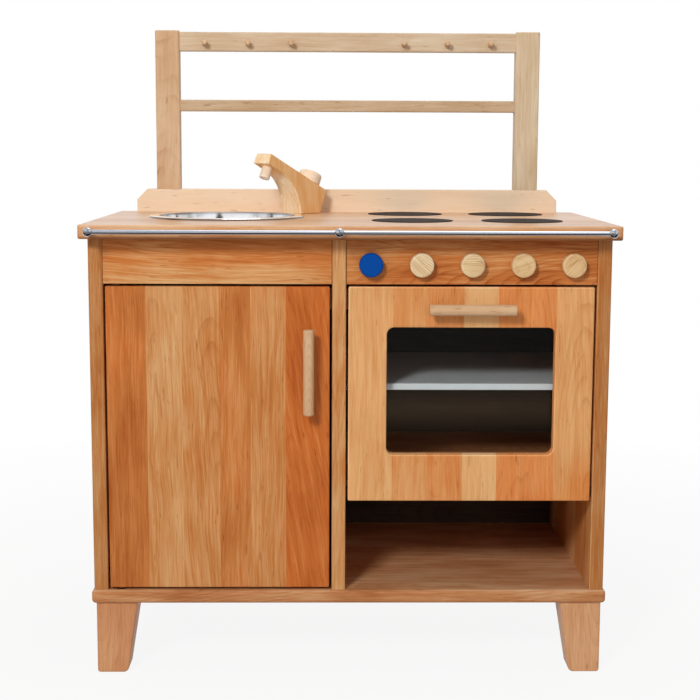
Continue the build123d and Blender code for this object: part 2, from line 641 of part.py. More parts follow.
def build_worktop():
    """Worktop, and everything that is let into it or fixed along its front edge."""
    half = WORKTOP_WIDTH / 2
    top = block((-half, half), (WORKTOP_FRONT, WORKTOP_REAR), (WORKTOP_UNDER, WORK_HEIGHT))
    top = fillet(top.edges().filter_by(Axis.Z), WORKTOP_CORNER)
    flats = top.edges().group_by(Axis.Z)
    top = fillet(flats[0] + flats[-1], ARRIS)
    top -= along((SINK_AT, SINK_Y, WORKTOP_UNDER), Z_POS, BOARD, SINK_HOLE_R)
    top -= along((TAP_AT, TAP_Y, WORKTOP_UNDER), Z_POS, BOARD, TAP_PIVOT_R)
    for x, y in DISC_PLACES:
        top -= along((x, y, WORK_HEIGHT), Z_NEG, DISC_RECESS, DISC_R)
    parts["worktop"] = cut_all(top, carcass_dowels() + frame_dowels() + rail_screws())
    parts["hob_discs"] = group(hob_disc(x, y) for x, y in DISC_PLACES)
    parts["sink_bowl"] = sink_bowl()
    parts["towel_rail"] = towel_rail()
    parts["rail_spacers"] = group(rail_spacers())
    parts["rail_screws"] = group(rail_screws())


# ---------------------------------------------------------------- tap
def on_ridge(distance, depth=0.0):
    """Point of the tap's side view: so far along the ridge from its rear end, and so deep below it."""
    slope = radians(TAP_SLOPE)
    x = distance * cos(slope) + depth * sin(slope)
    return (x, TAP_REAR_HEIGHT + distance * sin(slope) - depth * cos(slope))


def tap_profile():
    """Side view of the tap: X from the rear corner towards the nose, Y up from the worktop."""
    slope = tan(radians(TAP_SLOPE))
    nose_top = on_ridge(TAP_RIDGE)
    nose_low = on_ridge(TAP_RIDGE, TAP_NOSE)
    throat = (TAP_THROAT_AT, nose_low[1] - (nose_low[0] - TAP_THROAT_AT) * slope)
    heel = (TAP_REAR_HEIGHT * slope, FLOAT)
    toe = (TAP_THROAT_AT, FLOAT)
    outline = make_face(Polyline(on_ridge(0), nose_top, nose_low, throat, toe, heel, close=True))
    corner = outline.vertices().sort_by_distance((throat[0], throat[1], 0))[0]
    return fillet(corner, TAP_THROAT_R)


def on_tap(shape):
    """Put a shape made over the tap's own side view in its place on the worktop."""
    turn = Rot(0, 0, -90 - TAP_HEADING)
    return Pos(TAP_AT, TAP_Y, WORK_HEIGHT) * turn * Pos(-TAP_PIVOT_AT, 0, 0) * shape


def tap_block():
    """Tap sawn from one block: the side view, less the wedges that narrow it towards the top."""
    height = TAP_REAR_HEIGHT + TAP_RIDGE * sin(radians(TAP_SLOPE))
    half_base, half_top = TAP_WIDTH_BASE / 2, TAP_WIDTH_TOP / 2
    side_view = extrude(Plane.XZ * tap_profile(), half_base, both=True)
    front_view = make_face(
        Polyline((-half_base, 0), (half_base, 0), (half_top, height), (-half_top, height), close=True)
    )
    wedge = extrude(Plane.YZ * front_view, TAP_RIDGE + TAP_NOSE)
    solid = side_view & wedge
    return fillet(solid.edges(), TAP_ARRIS)


def square_to_ridge(point, away):
    """Place at this point of the tap's side view, with Z square to the ridge: 1 for up, -1 for down."""
    slope = radians(TAP_SLOPE)
    normal = (-away * sin(slope), 0, away * cos(slope))
    return Plane(origin=(point[0], 0, point[1]), z_dir=normal).location


def turned_knob(radius, depth):
    """Round knob standing on its back, with a rounded face."""
    knob = along((0, 0, 0), Z_POS, depth, radius)
    knob = fillet(knob.edges().group_by(Axis.Z)[-1], KNOB_ROUND)
    return fillet(knob.edges().group_by(Axis.Z)[0], KNOB_BACK_ROUND)


def build_tap():
    """Swivelling tap on its pivot, with a glued outlet and a knob that turns on the ridge."""
    rise = TAP_PIVOT_RISE
    pivot = along((TAP_PIVOT_AT, 0, -BOARD), Z_POS, BOARD + rise, TAP_PIVOT_R)
    pivot_bore = along((TAP_PIVOT_AT, 0, 0), Z_POS, rise + FLOAT, TAP_PIVOT_R + RUNNING)
    outlet_at = square_to_ridge(on_ridge(TAP_RIDGE - OUTLET_IN, TAP_NOSE), -1)
    outlet = outlet_at * along((0, 0, -OUTLET_SEAT), Z_POS, OUTLET_SEAT + OUTLET_OUT, OUTLET_R)

    knob_at = square_to_ridge(on_ridge(TAP_KNOB_AT), 1)
    seat = TAP_KNOB_DEPTH / 2
    spindle = along((0, 0, -TAP_SPINDLE_DEPTH), Z_POS, TAP_SPINDLE_DEPTH + FLOAT + seat, SPINDLE_R)
    deep = TAP_SPINDLE_DEPTH + FLOAT
    spindle_bore = along((0, 0, -deep), Z_POS, deep + KNOB_R, SPINDLE_R + RUNNING)
    knob = Pos(0, 0, FLOAT) * turned_knob(TAP_KNOB_R, TAP_KNOB_DEPTH) - spindle

    body = tap_block() - pivot_bore - outlet - knob_at * spindle_bore
    mouth = outlet.edges().group_by(Axis.Z)[0]
    parts["tap_pivot"] = on_tap(pivot)
    parts["tap_body"] = on_tap(body)
    parts["tap_outlet"] = on_tap(fillet(mouth, ARRIS / 2))
    parts["tap_knob"] = on_tap(knob_at * knob)
    parts["tap_knob_spindle"] = on_tap(knob_at * spindle)


# ---------------------------------------------------------------- back frame
def utensil_pegs():
    """Short necked pegs with rounded ends, tipped up so that what hangs on them stays on."""
    tilt = radians(PEG_TILT)
    direction = (0, -cos(tilt), sin(tilt))
    pegs = []
    for x in PEG_XS:
        seat = (x, RAILS_FRONT + PEG_SEAT * cos(tilt), PEG_Z - PEG_SEAT * sin(tilt))
        shoulder = (x, RAILS_FRONT - PEG_NECK * cos(tilt), PEG_Z + PEG_NECK * sin(tilt))
        peg = along(shoulder, direction, PEG_OUT - PEG_NECK, PEG_R)
        peg = fillet(peg.edges().group_by(Axis.Y)[0], PEG_ROUND)
        pegs.append(peg + along(seat, direction, PEG_SEAT + PEG_NECK, PEG_NECK_R))
    return pegs


def build_frame():
    """Splashback, two posts, two rails and the pegs for utensils."""
    half, cut = SPLASH_WIDTH / 2, SPLASH_CUT
    low, high = WORK_HEIGHT, SPLASH_TOP
    outline = Polyline(
        (-half, low),
        (half, low),
        (half, high - cut),
        (half - cut, high),
        (cut - half, high),
        (-half, high - cut),
        close=True,
    )
    splash = extrude(Plane.XZ * make_face(outline), -SPLASH)
    eased = splash.edges().filter_by(lambda edge: edge.center().Z > low + ARRIS)
    splash = Pos(0, SPLASH_FRONT, 0) * fillet(eased, ARRIS / 2)
    parts["splashback"] = cut_all(splash, frame_dowels())

    for name, side in (("left_post", -1), ("right_post", 1)):
        x = sorted((side * POST_INNER, side * FRAME_WIDTH / 2))
        post = block(x, (SPLASH_FRONT, WORKTOP_REAR), (SPLASH_TOP, POST_TOP))
        seen = post.edges().filter_by(lambda edge: edge.center().Z > SPLASH_TOP + ARRIS)
        parts[name] = cut_all(fillet(seen, ARRIS), frame_dowels())

    span = (-POST_INNER, POST_INNER)
    top_y = (RAILS_FRONT, RAILS_FRONT + TOP_RAIL)
    top_z = (TOP_RAIL_TOP - TOP_RAIL_HEIGHT, TOP_RAIL_TOP)
    middle_y = (RAILS_FRONT, RAILS_FRONT + MIDDLE_RAIL)
    middle_z = (MIDDLE_RAIL_BOTTOM, MIDDLE_RAIL_BOTTOM + MIDDLE_RAIL_HEIGHT)
    top_rail = board(span, top_y, top_z, Axis.X)
    middle_rail = board(span, middle_y, middle_z, Axis.X)
    parts["top_rail"] = cut_all(top_rail, frame_dowels() + utensil_pegs())
    parts["middle_rail"] = cut_all(middle_rail, frame_dowels())
    parts["utensil_pegs"] = group(utensil_pegs())


# ---------------------------------------------------------------- doors
def handle_posts(ends):
    """Two short dowels that hold a bar off a door; ends are the (x, z) of the posts."""
    start_y = FRONT + HANDLE_POST_SEAT
    length = HANDLE_POST_SEAT + HANDLE_STANDOFF - HANDLE_R + HANDLE_POST_GRIP
    return [along((x, start_y, z), Y_NEG, length, HANDLE_POST_R) for x, z in ends]


def handle_bar(start, direction, length, posts):
    """Round bar with softened ends, bored for its posts."""
    bar = along(start, direction, length, HANDLE_R)
    bar = fillet(bar.edges().filter_by(GeomType.CIRCLE), ARRIS)
    return cut_all(bar, posts)


def strike(corner):
    """Steel disc let into a door's inner face, opposite its magnet."""
    x, _, z = catch_point(corner)
    return along((x, DOOR_BACK - STRIKE, z), Y_POS, STRIKE, STRIKE_R)


def pivot_pin(edge, direction):
    """Steel pin from inside a door, across the gap and into its bush."""
    start = [edge[i] - PIN_SEAT * direction[i] for i in range(3)]
    pin = along(start, direction, PIN_SEAT + DOOR_GAP + PIN_REACH, PIN_R)
    return pin


def build_cupboard_door():
    """Door that turns on upright pins near its left edge."""
    x = (CUPBOARD_DOOR_LEFT, CUPBOARD_DOOR_RIGHT)
    door = board(x, (FRONT, DOOR_BACK), (CUPBOARD_DOOR_BOTTOM, DOOR_TOP))
    bar_x = CUPBOARD_DOOR_RIGHT - CUPBOARD_BAR_IN
    bar_low = DOOR_TOP - CUPBOARD_BAR_TOP - CUPBOARD_BAR
    ends = (bar_low + HANDLE_POST_INSET, bar_low + CUPBOARD_BAR - HANDLE_POST_INSET)
    posts = handle_posts([(bar_x, z) for z in ends])
    pin_x, pin_y = CUPBOARD_PIVOT
    pins = [
        pivot_pin((pin_x, pin_y, CUPBOARD_DOOR_BOTTOM), Z_NEG),
        pivot_pin((pin_x, pin_y, DOOR_TOP), Z_POS),
    ]
    plate = strike(catch_corners()[0])
    bar_start = (bar_x, FRONT - HANDLE_STANDOFF, bar_low)
    parts["cupboard_door"] = cut_all(door, posts + pins + [plate])
    parts["cupboard_handle"] = handle_bar(bar_start, Z_POS, CUPBOARD_BAR, posts)
    parts["cupboard_handle_posts"] = group(posts)
    parts["cupboard_pivot_pins"] = group(pins)
    parts["cupboard_strike"] = plate


def rounded_slab(width, height, corner, y, depth, middle_z):
    """Upright slab behind the oven door's middle, with rounded corners."""
    face = Plane.XZ * RectangleRounded(width, height, corner)
    return Pos(OVEN_MIDDLE, y, middle_z) * extrude(face, -depth)


def pane_screws():
    """Round-head screws through the pane's lap: one near each corner and one mid-side."""
    middle_z = OVEN_DOOR_BOTTOM + WINDOW_RISE + WINDOW_HEIGHT / 2
    across = (WINDOW_WIDTH + PANE_LAP) / 2
    up = (WINDOW_HEIGHT + PANE_LAP) / 2
    places = [(i * across, j * up) for i in (-1, 0, 1) for j in (-1, 0, 1) if i or j]
    sizes = (PANE_SCREW_HEAD, PANE_SCREW_DOME, PANE_SCREW_SHANK, PANE_SCREW_DEPTH)
    return [
        dome_screw((OVEN_MIDDLE + x, DOOR_BACK, middle_z + z), Y_NEG, *sizes) for x, z in places
    ]


def build_oven_door():
    """Door with a window, which drops forward on pins near its lower edge."""
    x = (OVEN_DOOR_LEFT, OVEN_DOOR_RIGHT)
    door = board(x, (FRONT, DOOR_BACK), (OVEN_DOOR_BOTTOM, DOOR_TOP))
    middle_z = OVEN_DOOR_BOTTOM + WINDOW_RISE + WINDOW_HEIGHT / 2
    window = rounded_slab(WINDOW_WIDTH, WINDOW_HEIGHT, WINDOW_CORNER, FRONT, BOARD, middle_z)
    door -= window
    rim = door.edges().filter_by(lambda edge: is_window_rim(edge, middle_z))
    door = fillet(rim, ARRIS)
    lap = 2 * PANE_LAP
    pane = rounded_slab(
        WINDOW_WIDTH + lap, WINDOW_HEIGHT + lap, WINDOW_CORNER, DOOR_BACK - PANE, PANE, middle_z
    )
    bar_z = DOOR_TOP - OVEN_BAR_DOWN
    reach = OVEN_BAR / 2 - HANDLE_POST_INSET
    posts = handle_posts([(OVEN_MIDDLE - reach, bar_z), (OVEN_MIDDLE + reach, bar_z)])
    pin_y, pin_z = OVEN_PIVOT
    pins = [
        pivot_pin((OVEN_DOOR_LEFT, pin_y, pin_z), X_NEG),
        pivot_pin((OVEN_DOOR_RIGHT, pin_y, pin_z), X_POS),
    ]
    plate = strike(catch_corners()[1])
    bar_start = (OVEN_MIDDLE - OVEN_BAR / 2, FRONT - HANDLE_STANDOFF, bar_z)
    parts["oven_door"] = cut_all(door, [pane, plate] + posts + pins + pane_screws())
    parts["oven_window"] = cut_all(pane, pane_screws())
    parts["window_screws"] = group(pane_screws())
    parts["oven_handle"] = handle_bar(bar_start, X_POS, OVEN_BAR, posts)
    parts["oven_handle_posts"] = group(posts)
    parts["oven_pivot_pins"] = group(pins)
    parts["oven_strike"] = plate


def is_window_rim(edge, middle_z):
    """True for an edge round the window on the door's front face."""
    at = edge.center()
    inside_x = abs(at.X - OVEN_MIDDLE) < WINDOW_WIDTH / 2 + ARRIS
    inside_z = abs(at.Z - middle_z) < WINDOW_HEIGHT / 2 + ARRIS
    return inside_x and inside_z and abs(at.Y - FRONT) < SAME


# ---------------------------------------------------------------- turning knobs
def build_knobs():
    """Knobs that turn in the fascia; a head on each spindle keeps it from pulling out."""
    head_at = SPINDLE_SEAT + FLOAT + BOARD + FLOAT
    spindle = along((0, 0, 0), Z_POS, head_at + SPINDLE_HEAD, SPINDLE_R)
    spindle += along((0, 0, head_at), Z_POS, SPINDLE_HEAD, SPINDLE_HEAD_R)
    to_front = Plane(origin=(0, 0, 0), z_dir=Y_NEG).location
    knob = to_front * turned_knob(KNOB_R, KNOB_DEPTH)
    spindle = Pos(0, -SPINDLE_SEAT, 0) * (Plane(origin=(0, 0, 0), z_dir=Y_POS).location * spindle)
    knob -= spindle
    for i, x in enumerate(KNOB_XS, start=1):
        place = Pos(x, FASCIA_FRONT - FLOAT, KNOB_Z)
        parts[f"knob_{i}"] = place * knob
        parts[f"knob_{i}_spindle"] = place * spindle


build_uprights()
build_base()
build_fascias()
build_oven_inside()
build_fixings()
build_worktop()
build_tap()
build_frame()
build_cupboard_door()
build_oven_door()
build_knobs()

os.makedirs("parts", exist_ok=True)
for name, shape in parts.items():
    export_step(shape, f"parts/{name}.step")
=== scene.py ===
"""Play kitchen: wood, metal and lacquer finishes, fine fittings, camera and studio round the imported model."""
from math import cos, pi, sin

import bpy
from mathutils import Matrix, Vector


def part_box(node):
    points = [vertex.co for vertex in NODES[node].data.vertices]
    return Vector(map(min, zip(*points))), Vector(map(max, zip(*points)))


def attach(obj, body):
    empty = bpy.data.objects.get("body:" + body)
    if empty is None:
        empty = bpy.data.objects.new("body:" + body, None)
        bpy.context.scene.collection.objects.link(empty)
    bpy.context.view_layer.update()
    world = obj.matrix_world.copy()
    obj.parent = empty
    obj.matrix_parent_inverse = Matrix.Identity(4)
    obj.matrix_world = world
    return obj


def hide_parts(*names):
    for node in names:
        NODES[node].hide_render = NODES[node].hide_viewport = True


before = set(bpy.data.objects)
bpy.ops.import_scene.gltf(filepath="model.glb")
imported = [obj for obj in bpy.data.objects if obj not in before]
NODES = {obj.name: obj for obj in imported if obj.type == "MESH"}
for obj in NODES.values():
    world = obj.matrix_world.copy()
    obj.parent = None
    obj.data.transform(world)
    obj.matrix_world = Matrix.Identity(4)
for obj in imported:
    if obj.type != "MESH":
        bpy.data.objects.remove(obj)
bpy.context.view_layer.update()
X, Y, Z = Vector((1, 0, 0)), Vector((0, 1, 0)), Vector((0, 0, 1))
CLEAR = 5.0  # metres added to a coordinate that is cut into steps, so that no step falls on a change of sign


# ---------------------------------------------------------------- building shader trees
def paint(red, green, blue):
    """Linear colour with alpha for a colour given in 0 to 255 display values."""
    def linear(value):
        part = value / 255
        return part / 12.92 if part <= 0.04045 else ((part + 0.055) / 1.055) ** 2.4
    return (linear(red), linear(green), linear(blue), 1.0)


def put(tree, kind, inputs=(), **settings):
    """Add a node: settings are its own properties, inputs are values or sockets to join to it."""
    node = tree.nodes.new(kind)
    for name, value in settings.items():
        setattr(node, name, value)
    for key, value in dict(inputs).items():
        if isinstance(value, bpy.types.NodeSocket):
            tree.links.new(value, node.inputs[key])
        else:
            node.inputs[key].default_value = value
    return node


def calc(tree, operation, *terms):
    """Math node; returns its result."""
    return put(tree, "ShaderNodeMath", dict(enumerate(terms)), operation=operation).outputs[0]


def bend(tree, operation, *terms):
    """Vector math node; returns its vector."""
    return put(tree, "ShaderNodeVectorMath", dict(enumerate(terms)), operation=operation).outputs[0]


def reach(tree, vector, axis):
    """How far a vector goes along an axis."""
    return put(tree, "ShaderNodeVectorMath", {0: vector, 1: axis}, operation="DOT_PRODUCT").outputs["Value"]


def rescale(tree, value, low, high, first=0.0, last=1.0):
    """Value carried from low and high to first and last, and held beyond them."""
    return put(tree, "ShaderNodeMapRange", {"Value": value, 1: low, 2: high, 3: first, 4: last}).outputs[0]


def where(tree, kind="Object"):
    """Texture coordinates of one kind."""
    return put(tree, "ShaderNodeTexCoord").outputs[kind]


def parts(tree, vector):
    """X, Y and Z of a vector."""
    return put(tree, "ShaderNodeSeparateXYZ", {0: vector}).outputs


def noise(tree, vector, scale, detail=2.0, rough=0.5):
    """Noise texture node."""
    inputs = {"Vector": vector, "Scale": scale, "Detail": detail, "Roughness": rough}
    return put(tree, "ShaderNodeTexNoise", inputs)


def mix_colour(tree, share, first, second):
    """Second colour laid over the first by this share."""
    return put(tree, "ShaderNodeMix", {0: share, 6: first, 7: second}, data_type="RGBA").outputs[2]


def tinted(tree, share, colour, tint):
    """Colour multiplied by another colour, by this share: it lays stains of the wood and also painted light and
    shade.
    """
    return mix_colour(tree, share, colour, bend(tree, "MULTIPLY", colour, tint))


def new_group(name, takes, gives):
    """Shader node group with these sockets; returns its tree, its input sockets and its output node."""
    kinds = {"value": "NodeSocketFloat", "vector": "NodeSocketVector", "colour": "NodeSocketColor"}
    tree = bpy.data.node_groups.new(name, "ShaderNodeTree")
    for title, kind, value in takes:
        socket = tree.interface.new_socket(title, in_out="INPUT", socket_type=kinds[kind])
        socket.default_value = value
    for title, kind in gives:
        tree.interface.new_socket(title, in_out="OUTPUT", socket_type=kinds[kind])
    return tree, tree.nodes.new("NodeGroupInput").outputs, tree.nodes.new("NodeGroupOutput")


def fill(tree, group, inputs):
    """Node that holds a group, with its named inputs set or joined."""
    return put(tree, "ShaderNodeGroup", inputs, node_tree=group)


def new_finish(name):
    """Material with one Principled shader; returns the material, its tree and the shader."""
    finish = bpy.data.materials.new(name)
    finish.use_nodes = True
    tree = finish.node_tree
    return finish, tree, tree.nodes["Principled BSDF"]


def ramp(tree, factor, stops, interpolation="LINEAR"):
    """Colour ramp through (place, colour) stops; returns its colour and alpha."""
    node = put(tree, "ShaderNodeValToRGB", {"Fac": factor})
    bar = node.color_ramp
    bar.interpolation = interpolation
    while len(bar.elements) < len(stops):
        bar.elements.new(0.5)
    for element, (place, colour) in zip(bar.elements, stops):
        element.position = place
    for element, (place, colour) in zip(bar.elements, stops):
        element.color = colour
    return node.outputs


# ---------------------------------------------------------------- shared effects
def figure_group():
    """Figure of one stave. X runs across it, Y into it and Z along the grain, in metres."""
    takes = [("Vector", "vector", (0, 0, 0)), ("Seed", "value", 0.0), ("Ring Width", "value", 0.008),
             ("Slope", "value", 0.0)]
    gives = [("Rings", "value"), ("Streaks", "value"), ("Fibres", "value"), ("Clouds", "value"),
             ("Flecks", "value")]
    tree, given, result = new_group("stave figure", takes, gives)
    dice = put(tree, "ShaderNodeTexWhiteNoise", {"W": given["Seed"]}, noise_dimensions="1D")
    chance = put(tree, "ShaderNodeSeparateColor", {"Color": dice.outputs["Color"]}).outputs
    shift = put(tree, "ShaderNodeVectorMath", {0: dice.outputs["Color"], "Scale": 9.0}, operation="SCALE")
    shift = shift.outputs[0]
    place = parts(tree, given["Vector"])
    broad = bend(tree, "ADD", bend(tree, "MULTIPLY", given["Vector"], (0.4, 0.4, 1.0)), shift)
    drift = noise(tree, broad, 9.0, 1.0)
    side = calc(tree, "MULTIPLY_ADD", place["Z"], given["Slope"], place["X"])
    side = calc(tree, "MULTIPLY_ADD", calc(tree, "SUBTRACT", drift.outputs[0], 0.5), 0.01, side)
    leaning = put(tree, "ShaderNodeCombineXYZ", {0: side, 1: place["Y"], 2: place["Z"]}).outputs[0]

    def drawn_out(stretch, scale, detail, rough=0.5):
        squeezed = bend(tree, "MULTIPLY", leaning, (1.0, 1.0, stretch))
        return noise(tree, bend(tree, "ADD", squeezed, shift), scale, detail, rough).outputs[0]

    # the growth rings are cones that open away from the tip, seen where the stave cuts them
    rise = calc(tree, "MULTIPLY_ADD", chance[1], 0.16, 0.06)
    tip = calc(tree, "MULTIPLY_ADD", chance[2], 0.4, 0.1)
    inward = calc(tree, "PINGPONG", calc(tree, "ADD", place["Y"], calc(tree, "ADD", chance[0], CLEAR)), 0.03)
    depth = calc(tree, "MULTIPLY_ADD", calc(tree, "SUBTRACT", place["Z"], tip), rise, inward)
    off = calc(tree, "SUBTRACT", side, calc(tree, "MULTIPLY", calc(tree, "SUBTRACT", chance[0], 0.5), 0.05))
    off = calc(tree, "PINGPONG", calc(tree, "ADD", off, CLEAR), 0.045)
    square = calc(tree, "ADD", calc(tree, "MULTIPLY", off, off), calc(tree, "MULTIPLY", depth, depth))
    even = calc(tree, "DIVIDE", calc(tree, "SQRT", square), given["Ring Width"])
    wander = calc(tree, "MULTIPLY", drawn_out(0.3, 40.0, 2.0), 1.6)
    share = calc(tree, "FRACT", calc(tree, "ADD", even, wander))
    darkening = calc(tree, "POWER", rescale(tree, share, 0.25, 0.94), 2.5)
    line = calc(tree, "MULTIPLY", darkening, rescale(tree, share, 0.94, 1.0, 1.0, 0.0))
    kept = rescale(tree, drawn_out(0.5, 31.0, 1.0), 0.38, 0.66)
    tree.links.new(calc(tree, "MULTIPLY", line, kept), result.inputs["Rings"])
    tree.links.new(drawn_out(0.045, 190.0, 3.0, 0.65), result.inputs["Streaks"])
    tree.links.new(drawn_out(0.035, 620.0, 2.0, 0.6), result.inputs["Fibres"])
    tree.links.new(drawn_out(0.4, 27.0, 3.0), result.inputs["Clouds"])
    tree.links.new(rescale(tree, drawn_out(0.14, 330.0, 1.0), 0.68, 0.76), result.inputs["Flecks"])
    return tree


def stave_group():
    """Staves glued side by side across X: each has its own tone, figure and slope of grain."""
    takes = [("Vector", "vector", (0, 0, 0)), ("Stave Width", "value", 0.04), ("Seed", "value", 0.0)]
    gives = [("Tone", "value"), ("Ringed", "value"), ("Slope", "value"), ("Stave", "value"),
             ("Glue Line", "value")]
    tree, given, result = new_group("glued staves", takes, gives)
    across = parts(tree, given["Vector"])["X"]
    count = calc(tree, "DIVIDE", calc(tree, "ADD", across, CLEAR), given["Stave Width"])
    stave = calc(tree, "ADD", calc(tree, "FLOOR", count), calc(tree, "MULTIPLY", given["Seed"], 17.3))
    dice = put(tree, "ShaderNodeTexWhiteNoise", {"W": stave}, noise_dimensions="1D")
    chance = put(tree, "ShaderNodeSeparateColor", {"Color": dice.outputs["Color"]}).outputs
    from_joint = calc(tree, "MULTIPLY", calc(tree, "PINGPONG", count, 0.5), given["Stave Width"])
    tree.links.new(calc(tree, "MULTIPLY_ADD", chance[0], 0.5, 0.25), result.inputs["Tone"])
    tree.links.new(calc(tree, "MULTIPLY", chance[1], chance[1]), result.inputs["Ringed"])
    tree.links.new(calc(tree, "MULTIPLY_ADD", chance[2], 0.08, -0.04), result.inputs["Slope"])
    tree.links.new(stave, result.inputs["Stave"])
    tree.links.new(calc(tree, "LESS_THAN", from_joint, 0.00012), result.inputs["Glue Line"])
    return tree


def oiled_group():
    """Colour, gloss and height of oiled wood from its tone and figure."""
    takes = [("Vector", "vector", (0, 0, 0)), ("Seed", "value", 0.0), ("Tone", "value", 0.5),
             ("Ringed", "value", 0.4), ("Slope", "value", 0.0), ("Ruddy", "value", 0.0), ("Figure", "value", 1.0),
             ("Blotch", "value", 0.0), ("Ring Width", "value", 0.008), ("Light", "value", 1.0),
             ("Gloss", "value", 0.4), ("Deep", "colour", paint(160, 84, 32)),
             ("Warm", "colour", paint(190, 121, 64)), ("Pale", "colour", paint(208, 163, 112))]
    gives = [("Color", "colour"), ("Roughness", "value"), ("Height", "value")]
    tree, given, result = new_group("oiled wood", takes, gives)
    marks = fill(tree, FIGURE, {"Vector": given["Vector"], "Seed": given["Seed"], "Slope": given["Slope"],
                                "Ring Width": given["Ring Width"]}).outputs

    def sway(mark, weight):
        return calc(tree, "MULTIPLY", calc(tree, "SUBTRACT", mark, 0.5), weight)

    change = calc(tree, "ADD", sway(marks["Streaks"], 0.85), sway(marks["Clouds"], 0.9))
    change = calc(tree, "ADD", change, sway(marks["Fibres"], 0.75))
    tone = calc(tree, "MULTIPLY_ADD", change, given["Figure"], given["Tone"])
    first = mix_colour(tree, rescale(tree, tone, 0.0, 0.5), given["Deep"], given["Warm"])
    whole = mix_colour(tree, rescale(tree, tone, 0.5, 1.0), first, given["Pale"])
    drawn = calc(tree, "MULTIPLY", calc(tree, "MULTIPLY", marks["Rings"], given["Ringed"]), given["Figure"])
    red = calc(tree, "MULTIPLY_ADD", rescale(tree, marks["Clouds"], 0.5, 0.7), given["Blotch"], given["Ruddy"])
    whole = tinted(tree, red, whole, (1.04, 0.72, 0.5))
    whole = tinted(tree, drawn, whole, (0.66, 0.45, 0.3))
    whole = tinted(tree, calc(tree, "MULTIPLY", marks["Flecks"], 0.5), whole, (0.55, 0.4, 0.3))
    lit = put(tree, "ShaderNodeVectorMath", {0: whole, "Scale": given["Light"]}, operation="SCALE")
    tree.links.new(lit.outputs[0], result.inputs["Color"])
    gloss = calc(tree, "ADD", sway(marks["Fibres"], 0.16), given["Gloss"])
    tree.links.new(gloss, result.inputs["Roughness"])
    relief = calc(tree, "SUBTRACT", marks["Fibres"], calc(tree, "MULTIPLY", drawn, 0.5))
    tree.links.new(calc(tree, "SUBTRACT", relief, marks["Flecks"]), result.inputs["Height"])
    return tree


def edge_group():
    """Where an edge has been rounded, as a mask: it carries handling wear and a painted highlight."""
    tree, given, result = new_group("worn and highlighted edges", [("Reach", "value", 0.002)], [("Mask", "value")])
    soft = put(tree, "ShaderNodeBevel", {"Radius": given["Reach"]}, samples=4)
    flat = put(tree, "ShaderNodeNewGeometry")
    agree = reach(tree, soft.outputs[0], flat.outputs["Normal"])
    tree.links.new(rescale(tree, agree, 0.99, 0.85), result.inputs["Mask"])
    return tree


def handling_group():
    """Faint smears and fine scratches that handling leaves on a hard surface."""
    takes = [("Vector", "vector", (0, 0, 0)), ("Gloss", "value", 0.3), ("Spread", "value", 0.1)]
    tree, given, result = new_group("handling marks", takes, [("Roughness", "value"), ("Height", "value")])
    smear = noise(tree, given["Vector"], 38.0, 4.0, 0.6).outputs[0]
    scratch = noise(tree, bend(tree, "MULTIPLY", given["Vector"], (1.0, 6.0, 14.0)), 160.0, 2.0).outputs[0]
    uneven = calc(tree, "MULTIPLY", calc(tree, "SUBTRACT", smear, 0.5), given["Spread"])
    tree.links.new(calc(tree, "ADD", uneven, given["Gloss"]), result.inputs["Roughness"])
    tree.links.new(scratch, result.inputs["Height"])
    return tree


FIGURE = figure_group()
STAVES = stave_group()
OILED = oiled_group()
EDGES = edge_group()
HANDLING = handling_group()


# ---------------------------------------------------------------- wood
# lighter colour for edge wear and painted highlight, colour of glue lines, and painted shade in the gaps at board
# ends
EDGE_WEAR_AND_HIGHLIGHT, GLUE, GAP_SHADE = paint(236, 205, 165), paint(96, 52, 24), paint(70, 34, 14)
EDGE_WEAR_AND_HIGHLIGHT_REACH = 0.0016  # metres that edge wear and the painted highlight go in from an edge
GAP_WIDTH = 0.0009
LAST_STAVE = 0.05  # metres of the colour ramp for the last stave of a list


def turned(tree, axes):
    """Object coordinates along the axes that run across, into and along a board."""
    place = where(tree)
    runs = [reach(tree, place, axis) for axis in axes]
    return put(tree, "ShaderNodeCombineXYZ", dict(enumerate(runs))).outputs[0]


